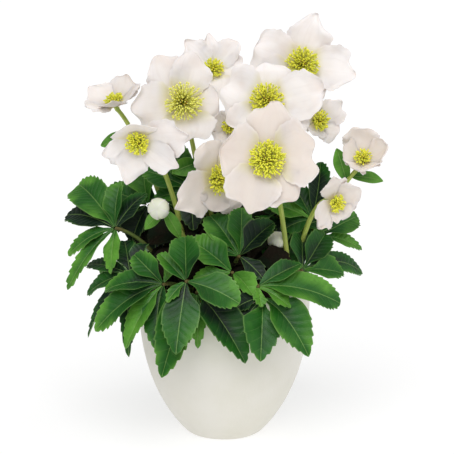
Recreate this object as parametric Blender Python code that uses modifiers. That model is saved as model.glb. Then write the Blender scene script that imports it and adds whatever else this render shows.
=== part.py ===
"""Potted Christmas rose: a Helleborus niger in bloom, in a rounded white ceramic pot.

Metres, +Z up. The origin is the middle of the pot's foot and -Y is the front.
Every leaf, bloom and bud grows from its own hole in the soil. Places in the plant tables are in
millimetres and angles in degrees. A facing is (azimuth, elevation): azimuth 0 looks to the front and
90 to +X. In the plane that a facing gives, angle 0 points right and 90 up, seen from outside.
"""

import math
from collections import namedtuple

import bmesh
import bpy
from mathutils import Vector

MM = 0.001
MERGE = 0.01 * MM  # points closer than this are one

POT_RIM_RADIUS = 74.5 * MM
POT_FOOT_RADIUS = 32 * MM
POT_HEIGHT = 132 * MM
POT_WALL = 5 * MM
POT_FLOOR = 7 * MM
POT_RIM_ROUNDING = 1.6 * MM
POT_SIDES = 28
POT_RINGS = 10
INNER_RINGS = 5
RING_CROWDING = 1.5  # rings stand closer low down, where the wall bends most
POT_BELLY = 2.63  # a higher power brings the widest part lower
POT_HEEL = 0.88  # a lower power rounds the wall more tightly above the foot

SOIL_TOP = 118 * MM
SOIL_DOME = 3 * MM
DOME_RING = 0.6  # of the soil's radius
GAP = 0.3 * MM  # between neighbouring solids
SOIL_CLEARANCE = 1 * MM  # the coarser rings of the soil stay inside the pot's
HOLE_CLEARANCE = 0.4 * MM
HOLE_SIDES = 6

ROOT_DEPTH = 20 * MM
STEM_SIDES_RESOLUTION = 1  # a curve's bevel of resolution 1 has 6 sides
PETIOLE_RADIUS = 2.0 * MM
STEM_RADIUS = 2.4 * MM
TIP_SHARE = 0.75  # a stem's radius at its top, as a share of that at the soil
STEM_STEPS = 5
STEM_STRAIGHT = 4 * MM  # a flower stem's last stretch runs straight along the flower's axis
STEM_LEAN = 0.2  # a flower stem comes to its flower from the side of its root, by this share
STEM_RISE = 0.38  # how long a flower stem keeps straight up, as a share of its height
PETIOLE_RISE = 0.55
PETIOLE_DIP = 4 * MM
PETIOLE_REACH = 0.4  # a petiole's last bend, as a share of its way out from the root
FLOWER_BEND = 20 * MM  # how far behind a flower its stem bends
BUD_BEND = 14 * MM
RIM_CLEARANCE = 14 * MM  # petioles that end low first pass over the rim

BLADE_THICKNESS = 0.7 * MM
SEPAL_THICKNESS = 0.8 * MM
LEAF_RING = 3.5 * MM  # where leaflets part from each other, round the petiole's end
SEPAL_RING = 4.6 * MM
SLIT = 1 * MM  # between blades, up to where they lap
WIDEST_SHARE = 60  # degrees: neighbours closer than twice this grow from one ring
LAP_OVER = 0.32  # rise of an edge that lies over its neighbour, as a share of the half width
LAP_UNDER = -0.10
LAP_FREE = 0.18
LEAF_STATIONS = (0.28, 0.46, 0.61, 0.76, 0.9)
MIDDLING_LEAF_STATIONS = (0.32, 0.52, 0.7, 0.87)
SHORT_LEAF_STATIONS = (0.38, 0.6, 0.83)
LONG_LEAFLET = 45
SHORT_LEAFLET = 30
LEAF_TOOTH_FROM = 0.45
LEAF_TOOTH = 0.13  # of the half width
LEAF_TOOTH_LEAN = 0.035  # of the length, forwards
LEAF_ARCH = 0.2  # slope of the midribs where they leave the hub
LEAF_ARCH_REACH = 75 * MM  # the arch comes down to the hub's level at this distance
LEAFLET_FOOT = 0.06  # least half width, as a share of the greatest
LEAFLET_SKEW = 1.25  # a higher power brings the widest part nearer the tip
SEPAL_FOOT = 0.1
SEPAL_SKEW = 1.05
SEPAL_FULLNESS = 0.5  # a lower power makes the outline squarer
MIDRIB_STEP = 0.01  # of the length, for the midrib's direction
BRACT_STATIONS = (0.3, 0.65)
BRACT_FOOT = 0.08  # half width at the stem, as a share of the whole width
SEPAL_STATIONS = (0.22, 0.5, 0.76, 0.93)
SHORT_SEPAL_STATIONS = (0.28, 0.62, 0.9)
SHORT_SEPAL = 30
SEPAL_LAP = 0.6  # a sepal's laps as a share of a leaflet's
SEPAL_ORDER = (0, 3, 1, 4, 2)  # two sepals outermost, two innermost and one between

CORE_SIDES = 8
CORE_HEIGHT = 0.25  # this and the next four are shares of the boss's radius
CORE_FOOT = 0.18
CORE_TOP = 0.26
STAMEN_FOOT = 0.1  # how far from the flower's axis a stamen leaves the core
STAMEN_DOME = 0.72  # height of the inmost stamens
STAMEN_SIDES = 3
STAMEN_CLEARANCE = 13  # degrees between the outermost stamens and the sepals
STAMEN_ROOT_RADIUS = 0.55 * MM
STAMEN_TIP_RADIUS = 1.1 * MM
GOLDEN_TURN = math.pi * (3 - math.sqrt(5))
BUD_SIDES = 10
BUD_RINGS = 6

UP = Vector((0, 0, 1))

LOOKS = {
    "ceramic": ("white_ceramic", (0.80, 0.77, 0.72), 0.5),
    "soil": ("peat_soil", (0.035, 0.022, 0.014), 0.95),
    "leaf": ("hellebore_leaf", (0.035, 0.15, 0.035), 0.45),
    "stem": ("flower_stem", (0.30, 0.42, 0.09), 0.5),
    "sepal": ("white_sepal", (0.86, 0.81, 0.77), 0.6),
    "stamen": ("yellow_stamen", (0.62, 0.62, 0.04), 0.6),
}

Leaflet = namedtuple("Leaflet", "angle length width droop", defaults=(0.1,))
Leaf = namedtuple("Leaf", "root hub facing leaflets")
Sepal = namedtuple("Sepal", "angle length width")
Bract = namedtuple("Bract", "share azimuth elevation length width roll droop", defaults=(0, 0.1))
Bloom = namedtuple("Bloom", "root centre facing cup sepals boss stamens bracts", defaults=((),))
Bud = namedtuple("Bud", "root centre facing size bracts")

LEAVES = {
    "leaf_left_upper": Leaf((-46, -6), (-93, -12, 183), (-28, 38), (
        Leaflet(137, 71, 28, 0.05), Leaflet(163, 59, 22, 0.12), Leaflet(202, 43, 14, 0.2),
        Leaflet(233, 54, 15, 0.3), Leaflet(285, 31, 16, 0.35), Leaflet(68, 44, 21, 0.05),
        Leaflet(105, 44, 17, 0.0),
    )),
    "leaf_left_behind": Leaf((-46, 5), (-66, 14, 198), (-25, 35), (
        Leaflet(165, 46, 24, 0.1), Leaflet(112, 44, 24, 0.0), Leaflet(215, 36, 18, 0.2),
        Leaflet(261, 33, 23, 0.08),
    )),
    "leaf_left_low": Leaf((-48, -20), (-79, -36, 148), (-40, 45), (
        Leaflet(172, 56, 14, 0.15), Leaflet(200, 41, 21, 0.25), Leaflet(240, 46, 14, 0.5),
        Leaflet(300, 50, 14, 0.6), Leaflet(126, 43, 18, 0.05), Leaflet(84, 32, 16, 0.0),
    )),
    "leaf_front_left": Leaf((-30, -34), (-50, -66, 147), (-20, 42), (
        Leaflet(145, 41, 18, 0.05), Leaflet(180, 52, 22, 0.12), Leaflet(206, 60, 25, 0.3),
        Leaflet(243, 46, 21, 0.45), Leaflet(272, 37, 26, 0.3), Leaflet(77, 24, 14, 0.05),
    )),
    "leaf_front": Leaf((-14, -42), (-31, -75, 152), (-5, 42), (
        Leaflet(93, 41, 23, 0.0), Leaflet(135, 34, 14, 0.0), Leaflet(345, 46, 29, 0.2),
        Leaflet(266, 48, 28, 0.35), Leaflet(228, 22, 10, 0.1),
    )),
    "leaf_front_under": Leaf((-2, -46), (-23, -67, 140), (0, 45), (
        Leaflet(238, 53, 29, 0.6), Leaflet(313, 54, 29, 0.55), Leaflet(276, 31, 12, 0.65),
    )),
    "leaf_centre": Leaf((4, -28), (13, -45, 166), (0, 38), (
        Leaflet(121, 48, 27, 0.0), Leaflet(51, 42, 20, 0.0), Leaflet(85, 44, 20, 0.0),
        Leaflet(157, 46, 18, 0.05), Leaflet(320, 26, 15, 0.2),
    )),
    "leaf_centre_low": Leaf((8, -42), (7, -61, 156), (-5, 40), (
        Leaflet(141, 48, 24, 0.05), Leaflet(187, 32, 14, 0.1), Leaflet(319, 24, 18, 0.2),
    )),
    "leaf_front_low": Leaf((18, -50), (32, -72, 137), (5, 42), (
        Leaflet(265, 41, 29, 0.4), Leaflet(320, 48, 30, 0.4), Leaflet(192, 24, 14, 0.25),
        Leaflet(222, 29, 16, 0.35),
    )),
    "leaf_front_right": Leaf((30, -40), (28, -73, 147), (12, 48), (
        Leaflet(24, 46, 16, 0.05), Leaflet(322, 29, 20, 0.25), Leaflet(268, 16, 14, 0.3),
        Leaflet(357, 70, 30, 0.24),
    )),
    "leaf_right": Leaf((44, -32), (67, -32, 151), (30, 45), (
        Leaflet(349, 37, 22, 0.1), Leaflet(42, 48, 20, 0.0), Leaflet(15, 76, 19, 0.34),
        Leaflet(74, 31, 17, 0.0),
    )),
    "leaf_inner_left": Leaf((-20, 10), (-27, -4, 215), (-5, 35), (
        Leaflet(157, 48, 26, 0.05), Leaflet(120, 46, 21, 0.0), Leaflet(195, 32, 17, 0.1),
        Leaflet(271, 33, 18, 0.12),
    )),
    "leaf_inner_right": Leaf((36, 14), (76, 2, 188), (10, 35), (
        Leaflet(154, 48, 24, 0.05), Leaflet(113, 40, 19, 0.0), Leaflet(72, 54, 17, 0.0),
        Leaflet(190, 29, 18, 0.08),
    )),
    "leaf_back_left": Leaf((-38, 30), (-74, 46, 160), (-120, 48), (
        Leaflet(90, 44, 24, 0.1), Leaflet(145, 48, 26, 0.25), Leaflet(200, 50, 26, 0.35),
        Leaflet(262, 48, 26, 0.5), Leaflet(335, 44, 24, 0.3),
    )),
    "leaf_back": Leaf((-12, 44), (-22, 78, 152), (-170, 45), (
        Leaflet(90, 40, 22, 0.1), Leaflet(150, 46, 26, 0.25), Leaflet(205, 48, 26, 0.35),
        Leaflet(270, 50, 26, 0.5), Leaflet(338, 44, 24, 0.3),
    )),
    "leaf_back_right": Leaf((24, 44), (44, 72, 160), (150, 45), (
        Leaflet(90, 40, 24, 0.1), Leaflet(148, 46, 26, 0.25), Leaflet(205, 50, 26, 0.35),
        Leaflet(268, 48, 26, 0.5), Leaflet(340, 44, 24, 0.3),
    )),
    "leaf_inner_back": Leaf((-10, 30), (-14, 34, 192), (0, 40), (
        Leaflet(200, 44, 24, 0.1), Leaflet(160, 44, 24, 0.0), Leaflet(90, 36, 22, 0.0),
        Leaflet(30, 34, 22, 0.0), Leaflet(335, 32, 20, 0.1),
    )),
    "leaf_right_back": Leaf((54, 20), (84, 18, 170), (40, 42), (
        Leaflet(10, 52, 21, 0.0), Leaflet(42, 44, 22, 0.1), Leaflet(80, 42, 22, 0.1),
        Leaflet(118, 38, 20, 0.1), Leaflet(340, 42, 16, 0.15),
    )),
}

BLOOMS = {
    "bloom_front": Bloom((56, -22), (36, -72, 254), (-5, 14), (76, 92), (
        Sepal(89, 48, 44), Sepal(12, 43, 46), Sepal(-57, 40, 38), Sepal(-115, 48, 36), Sepal(184, 43, 48),
    ), 16, 21),
    "bloom_middle": Bloom((22, -2), (36, -22, 297), (0, 18), (74, 88), (
        Sepal(88, 41, 42), Sepal(18, 48, 40), Sepal(-54, 42, 38), Sepal(-128, 38, 36), Sepal(163, 38, 42),
    ), 15, 18, (Bract(0.7, 60, 20, 24, 14),)),
    "bloom_top_right": Bloom((24, 24), (68, 25, 318), (0, 14), (74, 90), (
        Sepal(72, 43, 38), Sepal(146, 41, 38), Sepal(-4, 43, 37), Sepal(-62, 32, 34), Sepal(-138, 40, 36),
    ), 15, 18, (Bract(0.5, 120, 20, 24, 14),)),
    "bloom_upper_left": Bloom((-10, 0), (-33, -12, 292), (8, 10), (72, 86), (
        Sepal(118, 41, 38), Sepal(190, 47, 44), Sepal(55, 37, 34), Sepal(-8, 30, 32), Sepal(-84, 34, 44),
    ), 17, 20, (Bract(0.53, -60, -10, 24, 18, -70), Bract(0.53, 50, -25, 26, 20, 70))),
    "bloom_top_middle": Bloom((-6, 12), (-9, 28, 316), (-5, 28), (70, 85), (
        Sepal(99, 31, 24), Sepal(152, 33, 28), Sepal(45, 31, 24), Sepal(-8, 27, 26), Sepal(-95, 26, 36),
    ), 9, 12),
    "bloom_left": Bloom((-28, -14), (-71, -50, 264), (-12, -6), (64, 82), (
        Sepal(203, 34, 24), Sepal(255, 35, 27), Sepal(-32, 39, 32), Sepal(14, 46, 32), Sepal(100, 24, 34),
    ), 11, 14),
    "bloom_left_cup": Bloom((-40, 16), (-92, 5, 280), (-40, 72), (64, 32), (
        Sepal(90, 38, 29), Sepal(160, 34, 27), Sepal(234, 27, 23), Sepal(306, 25, 23), Sepal(18, 34, 26),
    ), 8, 9, (Bract(0.62, -95, -10, 18, 13, -70),)),
    "bloom_side": Bloom((0, -14), (-8, -22, 228), (45, 4), (68, 84), (
        Sepal(88, 43, 28), Sepal(22, 38, 34), Sepal(-45, 36, 34), Sepal(-105, 32, 30), Sepal(190, 49, 44),
    ), 14, 14),
    "bloom_small_middle": Bloom((10, 8), (13, 2, 266), (0, 25), (60, 62), (
        Sepal(90, 17, 16), Sepal(162, 17, 16), Sepal(234, 17, 16), Sepal(306, 17, 16), Sepal(18, 17, 16),
    ), 6, 8),
    "bloom_right_side": Bloom((44, 28), (79, 8, 274), (48, -6), (62, 62), (
        Sepal(90, 18, 24), Sepal(20, 32, 25), Sepal(-38, 33, 28), Sepal(-110, 25, 26), Sepal(165, 19, 24),
    ), 9, 10),
    "bloom_right_cup": Bloom((60, 6), (119, -10, 241), (-4, 38), (60, 28), (
        Sepal(90, 28, 25), Sepal(162, 26, 23), Sepal(234, 22, 21), Sepal(306, 24, 21), Sepal(18, 25, 23),
    ), 8, 9, (Bract(0.6, -95, 58, 30, 14, -70), Bract(0.72, 95, -4, 26, 12, 60))),
    "bloom_lower_right": Bloom((60, -8), (93, -38, 210), (18, -4), (60, 66), (
        Sepal(100, 25, 24), Sepal(30, 25, 22), Sepal(-30, 21, 18), Sepal(-85, 18, 16), Sepal(212, 27, 24),
    ), 9, 9),
}

BUDS = {
    "bud_left": Bud((-18, -24), (-54, -48, 207), (-5, 35), (9.5, 18), (
        Bract(0.78, -95, -15, 15, 9, -50), Bract(0.66, 80, 62, 22, 12, 60),
    )),
    "bud_right": Bud((32, -18), (47, -16, 175), (5, 35), (8, 16), (
        Bract(0.78, -95, 10, 18, 10, -50), Bract(0.78, 95, 30, 18, 10, 50),
    )),
}


def clear_scene():
    for obj in list(bpy.data.objects):
        bpy.data.objects.remove(obj)


def collection(name):
    made = bpy.data.collections.new(name)
    bpy.context.scene.collection.children.link(made)
    return made


def finish(name, colour, roughness):
    """A Principled material of one colour, given as linear red, green and blue."""
    made = bpy.data.materials.new(name)
    made.use_nodes = True
    shader = made.node_tree.nodes["Principled BSDF"]
    shader.inputs["Base Color"].default_value = (*colour, 1)
    shader.inputs["Roughness"].default_value = roughness
    return made


def form_object(name, form, where):
    """An object from a bmesh, which is freed."""
    mesh = bpy.data.meshes.new(name)
    form.to_mesh(mesh)
    form.free()
    obj = bpy.data.objects.new(name, mesh)
    where.objects.link(obj)
    return obj


def applied(obj):
    """The object with its modifiers made part of its mesh."""
    graph = bpy.context.evaluated_depsgraph_get()
    mesh = bpy.data.meshes.new_from_object(obj.evaluated_get(graph))
    obj.modifiers.clear()
    obj.data = mesh
    return obj


def facing_frame(facing):
    """Right, up and outward directions of a face that looks that way."""
    azimuth, elevation = (math.radians(a) for a in facing)
    out = Vector((
        math.sin(azimuth) * math.cos(elevation),
        -math.cos(azimuth) * math.cos(elevation),
        math.sin(elevation),
    ))
    right = Vector((math.cos(azimuth), math.sin(azimuth), 0))
    return right, out.cross(right), out


def in_plane(frame, angle):
    right, up, _ = frame
    turn = math.radians(angle)
    return right * math.cos(turn) + up * math.sin(turn)


def leaflet_width(t):
    """Half width of a leaflet at t of its length, as a share: a wedge that is widest past the middle."""
    return LEAFLET_FOOT + (1 - LEAFLET_FOOT) * math.sin(math.pi * t ** LEAFLET_SKEW)


def sepal_width(t):
    """Half width of a sepal at t of its length, as a share: broad almost from the start."""
    return SEPAL_FOOT + (1 - SEPAL_FOOT) * math.sin(math.pi * t ** SEPAL_SKEW) ** SEPAL_FULLNESS


def row(middle, heading, out, half, laps):
    """An edge, the middle and the other edge of a blade, whose edges rise by their own laps."""
    side = heading.cross(out).normalized()
    rise = side.cross(heading)
    left, right = half
    return (
        middle - side * left + rise * left * laps[0],
        middle,
        middle + side * right + rise * right * laps[1],
    )


def within(half, distance, shares):
    """Half widths on both sides, held inside the blade's share of the ring at that distance."""
    return tuple(
        min(half, distance * math.sin(math.radians(share)) - SLIT / 2) for share in shares
    )


def leaflet_rows(start, frame, leaflet, laps, shares):
    """Rows of three points up a leaflet, whose midrib arches and droops with the square of its length."""
    out = frame[2]
    along = in_plane(frame, leaflet.angle)
    length = leaflet.length * MM
    stations = LEAF_STATIONS
    if leaflet.length < LONG_LEAFLET:
        stations = MIDDLING_LEAF_STATIONS
    if leaflet.length < SHORT_LEAFLET:
        stations = SHORT_LEAF_STATIONS

    def midrib(t):
        distance = length * t
        rise = LEAF_ARCH * distance * (1 - distance / LEAF_ARCH_REACH)
        return start + along * distance + out * rise - UP * leaflet.droop * distance * t

    rows = []
    for i, t in enumerate(stations):
        heading = (midrib(t + MIDRIB_STEP) - midrib(t - MIDRIB_STEP)).normalized()
        half = leaflet.width * MM / 2 * leaflet_width(t)
        tooth = LEAF_TOOTH if t > LEAF_TOOTH_FROM else 0
        outer = tooth if i % 2 else -tooth
        halves = (half * (1 + outer), half * (1 - outer))
        if i == 0:
            halves = within(half, length * t, shares)
        edge = list(row(midrib(t), heading, out, halves, laps))
        lean = heading * length * LEAF_TOOTH_LEAN * (1 if i % 2 else -1)
        edge[0] += lean
        edge[2] -= lean
        rows.append(edge)
    return rows, midrib(1)


def sepal_rows(start, frame, sepal, laps, shares, cup):
    """Rows up a sepal that leaves the flower's axis at the cup's first angle and ends at its second."""
    out = frame[2]
    outward = in_plane(frame, sepal.angle)
    length = sepal.length * MM - SEPAL_RING
    spot = start + outward * SEPAL_RING
    rows, before = [], 0.0
    stations = SEPAL_STATIONS if sepal.length > SHORT_SEPAL else SHORT_SEPAL_STATIONS
    for t in (*stations, 1):
        polar = math.radians(cup[0] + (cup[1] - cup[0]) * (t + before) / 2)
        heading = outward * math.sin(polar) + out * math.cos(polar)
        spot = spot + heading * length * (t - before)
        before = t
        half = sepal.width * MM / 2 * sepal_width(t)
        halves = (half, half)
        if not rows:
            halves = within(half, SEPAL_RING + length * t, shares)
        rows.append(row(spot, heading, out, halves, [lap * SEPAL_LAP for lap in laps]))
    return rows[:-1], spot


def neighbour_laps(blades, ranks):
    """For each blade in turning order its share of the ring and its edges' laps: the lower rank is on top."""
    shares, laps = [], []
    for i, blade in enumerate(blades):
        share, lap = [], []
        for step in (1, -1):
            other = (i + step) % len(blades)
            spacing = (step * (blades[other].angle - blade.angle)) % 360
            share.append(min(spacing / 2, WIDEST_SHARE))
            if spacing > 2 * WIDEST_SHARE:
                lap.append(LAP_FREE)
            else:
                lap.append(LAP_OVER if ranks[i] < ranks[other] else LAP_UNDER)
        shares.append(share)
        laps.append(lap)
    return shares, laps


def add_blade(form, base, rows, tip):
    """Faces from a base row up the rows to the tip; gives back the base's vertices."""
    grid = [[form.verts.new(point) for point in points] for points in (base, *rows)]
    for low, high in zip(grid, grid[1:]):
        form.faces.new((low[0], low[1], high[1], high[0]))
        form.faces.new((low[1], low[2], high[2], high[1]))
    end = form.verts.new(tip)
    form.faces.new((grid[-1][0], grid[-1][1], end))
    form.faces.new((grid[-1][1], grid[-1][2], end))
    return grid[0]


def thickened(name, form, thickness, where):
    """A thin solid from an open surface, split into triangles first so that both of its faces fold alike."""
    bmesh.ops.remove_doubles(form, verts=form.verts, dist=MERGE)
    bmesh.ops.triangulate(form, faces=form.faces)
    obj = form_object(name, form, where)
    solid = obj.modifiers.new("thickness", "SOLIDIFY")
    solid.thickness = thickness
    solid.offset = 0
    return applied(obj)


def whorl(name, centre, frame, ring, blades, ranks, rows_of, thickness, where):
    """Blades that spread from one small ring, each over or under its neighbours."""
    form = bmesh.new()
    middle = form.verts.new(centre)
    shares, laps = neighbour_laps(blades, ranks)
    for blade, share, lap in zip(blades, shares, laps):
        base = [
            centre + in_plane(frame, blade.angle + turn) * ring for turn in (share[0], 0, -share[1])
        ]
        left, mid, right = add_blade(form, base, *rows_of(centre, frame, blade, lap, share))
        form.faces.new((middle, mid, left))
        form.faces.new((middle, right, mid))
    return thickened(name, form, thickness, where)


def curve_points(start, lift, top, arrive, steps):
    """A cubic from the soil, straight up at first, to the top, where it comes in along arrive."""
    first = start + UP * lift
    last = top - arrive
    return [
        start * (1 - s) ** 3 + first * 3 * s * (1 - s) ** 2 + last * 3 * s * s * (1 - s) + top * s ** 3
        for s in (i / steps for i in range(steps + 1))
    ]


def tube(name, points, radius, where):
    """A round stem along the points, thinner towards its end."""
    data = bpy.data.curves.new(name, "CURVE")
    data.dimensions = "3D"
    data.bevel_depth = radius
    data.bevel_resolution = STEM_SIDES_RESOLUTION
    data.use_fill_caps = True
    spline = data.splines.new("POLY")
    spline.points.add(len(points) - 1)
    for i, (spot, point) in enumerate(zip(spline.points, points)):
        spot.co = (*point, 1)
        spot.radius = 1 - (1 - TIP_SHARE) * i / (len(points) - 1)
    guide = bpy.data.objects.new(name + "_line", data)
    where.objects.link(guide)
    graph = bpy.context.evaluated_depsgraph_get()
    form = bmesh.new()
    form.from_mesh(bpy.data.meshes.new_from_object(guide.evaluated_get(graph)))
    form.transform(guide.matrix_world)
    bpy.data.objects.remove(guide)
    bmesh.ops.remove_doubles(form, verts=form.verts, dist=MERGE)
    return form_object(name, form, where)


def joined(obj, members):
    """The object with every object of the members' collection joined to it, which are then removed."""
    union = obj.modifiers.new("joined", "BOOLEAN")
    union.operation = "UNION"
    union.operand_type = "COLLECTION"
    union.collection = members
    union.solver = "MANIFOLD"
    applied(obj)
    for member in list(members.objects):
        bpy.data.objects.remove(member)
    bpy.data.collections.remove(members)
    return obj


def soil_point(root):
    return Vector((root[0] * MM, root[1] * MM, SOIL_TOP))


def stem_line(root, top, out, reach):
    """The points of a flower stem, from the bottom of its hole to its top, where it runs along out."""
    start = soil_point(root)
    away = top - start
    away.z = 0
    end = top - out * STEM_STRAIGHT
    lift = STEM_RISE * (top.z - start.z)
    line = curve_points(start, lift, end, out * reach + away * STEM_LEAN, STEM_STEPS - 1)
    return [start - UP * ROOT_DEPTH, *line, top]


def petiole_line(root, hub):
    """The points of a petiole, from the bottom of its hole over the pot's rim to its leaflets."""
    start = soil_point(root)
    away = hub - start
    away.z = 0
    lift = max(PETIOLE_RISE * (hub.z - start.z), POT_HEIGHT + RIM_CLEARANCE / 2 - SOIL_TOP)
    over = max(hub.z - PETIOLE_DIP, POT_HEIGHT + RIM_CLEARANCE)
    line = curve_points(start, lift, hub, away * PETIOLE_REACH + UP * (hub.z - over), STEM_STEPS)
    line[-1] += (line[-1] - line[-2]).normalized() * BLADE_THICKNESS
    return [start - UP * ROOT_DEPTH, *line]


def point_on(line, share):
    """The place on a stem's line at a share of its way from the soil to its top."""
    at = 1 + share * (len(line) - 2)
    low = int(min(at, len(line) - 2))
    return line[low].lerp(line[low + 1], at - low)


def coloured(obj, look):
    obj.data.materials.append(look)
    return obj


def make_leaf(name, leaf, look, where):
    """A pedate leaf: toothed leaflets that spread from the end of one petiole."""
    hub = Vector(leaf.hub) * MM
    frame = facing_frame(leaf.facing)
    petiole = tube(name, petiole_line(leaf.root, hub), PETIOLE_RADIUS, where)
    members = collection(name + "_members")
    leaflets = sorted(leaf.leaflets)
    ranks = [(leaflet.droop / leaflet.length, leaflet.angle) for leaflet in leaflets]
    whorl(name + "_blade", hub, frame, LEAF_RING, leaflets, ranks, leaflet_rows, BLADE_THICKNESS, members)
    return coloured(joined(petiole, members), look)


def make_sepals(name, bloom, look, where):
    """Five broad sepals that lap over and under each other round the flower's middle."""

    def rows_of(centre, frame, sepal, laps, shares):
        return sepal_rows(centre, frame, sepal, laps, shares, bloom.cup)

    centre = Vector(bloom.centre) * MM
    frame = facing_frame(bloom.facing)
    sepals = sorted(bloom.sepals)
    obj = whorl(name, centre, frame, SEPAL_RING, sepals, SEPAL_ORDER, rows_of, SEPAL_THICKNESS, where)
    return coloured(obj, look)


def cone(name, foot, head, foot_radius, head_radius, sides, where):
    """A straight closed taper between two points."""
    way = head - foot
    form = bmesh.new()
    bmesh.ops.create_cone(
        form, cap_ends=True, segments=sides, radius1=foot_radius, radius2=head_radius, depth=way.length
    )
    form.transform(way.to_track_quat("Z", "Y").to_matrix().to_4x4())
    bmesh.ops.translate(form, verts=form.verts, vec=(foot + head) / 2)
    return form_object(name, form, where)


def make_stamens(name, bloom, look, where):
    """The yellow boss: stamens that spread from a small core over the sepals, by the golden angle."""
    frame = facing_frame(bloom.facing)
    out = frame[2]
    reach = bloom.boss * MM
    foot = Vector(bloom.centre) * MM + out * (SEPAL_THICKNESS / 2 + GAP)
    core_height = CORE_HEIGHT * reach
    core = cone(name, foot, foot + out * core_height, CORE_FOOT * reach, CORE_TOP * reach, CORE_SIDES, where)
    members = collection(name + "_members")
    edge = reach / math.tan(math.radians(bloom.cup[0] - STAMEN_CLEARANCE))
    for i in range(bloom.stamens):
        share = (i + 0.5) / bloom.stamens
        outward = in_plane(frame, math.degrees(i * GOLDEN_TURN))
        height = edge * share + max(STAMEN_DOME * reach, edge) * (1 - share)
        root = foot + outward * reach * STAMEN_FOOT + out * core_height / 2
        tip = foot + outward * reach * math.sqrt(share) + out * height
        cone(f"{name}_{i}", root, tip, STAMEN_ROOT_RADIUS, STAMEN_TIP_RADIUS, STAMEN_SIDES, members)
    return coloured(joined(core, members), look)


def make_bract(name, base, bract, members):
    """A small leaf on a flower stem, entire at the edge."""
    frame = facing_frame((bract.azimuth, bract.elevation))
    along = frame[2]
    out = in_plane((frame[1], -frame[0], along), bract.roll)
    length = bract.length * MM
    rows = []
    for t in BRACT_STATIONS:
        half = bract.width * MM / 2 * sepal_width(t)
        middle = base + along * length * t - UP * bract.droop * length * t * t
        rows.append(row(middle, along, out, (half, half), (LAP_OVER, LAP_OVER)))
    narrow = bract.width * MM * BRACT_FOOT
    form = bmesh.new()
    add_blade(
        form, row(base, along, out, (narrow, narrow), (0, 0)), rows,
        base + along * length - UP * bract.droop * length,
    )
    return thickened(name, form, BLADE_THICKNESS, members)


def make_stem(name, line, bracts, look, where):
    """A flower stem with its bracts."""
    stem = tube(name, line, STEM_RADIUS, where)
    if bracts:
        members = collection(name + "_members")
        for i, bract in enumerate(bracts):
            make_bract(f"{name}_bract_{i}", point_on(line, bract.share), bract, members)
        joined(stem, members)
    return coloured(stem, look)


def make_bloom(name, bloom, looks, where):
    out = facing_frame(bloom.facing)[2]
    make_sepals(name + "_sepals", bloom, looks["sepal"], where)
    make_stamens(name + "_stamens", bloom, looks["stamen"], where)
    top = Vector(bloom.centre) * MM - out * (SEPAL_THICKNESS / 2 + GAP)
    line = stem_line(bloom.root, top, out, FLOWER_BEND)
    make_stem(name + "_stem", line, bloom.bracts, looks["stem"], where)


def make_bud(name, bud, looks, where):
    """A closed bud: an egg of sepals, on a stem with bracts about it."""
    out = facing_frame(bud.facing)[2]
    centre = Vector(bud.centre) * MM
    radius, length = (size * MM for size in bud.size)
    form = bmesh.new()
    bmesh.ops.create_uvsphere(form, u_segments=BUD_SIDES, v_segments=BUD_RINGS, radius=1)
    bmesh.ops.scale(form, vec=(radius, radius, length / 2), verts=form.verts)
    form.transform(out.to_track_quat("Z", "Y").to_matrix().to_4x4())
    bmesh.ops.translate(form, verts=form.verts, vec=centre)
    coloured(form_object(name + "_sepals", form, where), looks["sepal"])
    top = centre - out * (length / 2 + GAP)
    line = stem_line(bud.root, top, out, BUD_BEND)
    make_stem(name + "_stem", line, bud.bracts, looks["stem"], where)


def pot_radius(z):
    """The pot's outer radius at a height: a heel that rounds out of the foot, then a long belly."""
    share = 1 - (1 - z / POT_HEIGHT) ** POT_BELLY
    return POT_FOOT_RADIUS + (POT_RIM_RADIUS - POT_FOOT_RADIUS) * share ** POT_HEEL


def ring_heights(low, high, rings):
    return [low + (high - low) * (i / (rings - 1)) ** RING_CROWDING for i in range(rings)]


def turned_solid(name, profile, sides, where):
    """A solid of revolution about Z, from points of (radius, height) on +X, its outer side run downwards."""
    mesh = bpy.data.meshes.new(name)
    mesh.from_pydata(
        [(radius, 0, height) for radius, height in profile],
        [(i, i + 1) for i in range(len(profile) - 1)], [],
    )
    obj = bpy.data.objects.new(name, mesh)
    where.objects.link(obj)
    screw = obj.modifiers.new("turned", "SCREW")
    screw.steps = screw.render_steps = sides
    screw.use_merge_vertices = True
    screw.merge_threshold = MERGE
    return applied(obj)


def make_pot(look, where):
    """The rounded pot, open at the top, with a flat foot."""
    shoulder = POT_HEIGHT - POT_RIM_ROUNDING
    outer = [(pot_radius(z), z) for z in ring_heights(0, shoulder, POT_RINGS)]
    inner = [(pot_radius(z) - POT_WALL, z) for z in ring_heights(POT_FLOOR, shoulder, INNER_RINGS)]
    rim = [
        (POT_RIM_RADIUS - POT_WALL + POT_RIM_ROUNDING, POT_HEIGHT),
        (POT_RIM_RADIUS - POT_RIM_ROUNDING, POT_HEIGHT),
    ]
    profile = [(0, POT_FLOOR), *inner, *rim, *reversed(outer), (0, 0)]
    return coloured(turned_solid("pot", profile, POT_SIDES, where), look)


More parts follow.
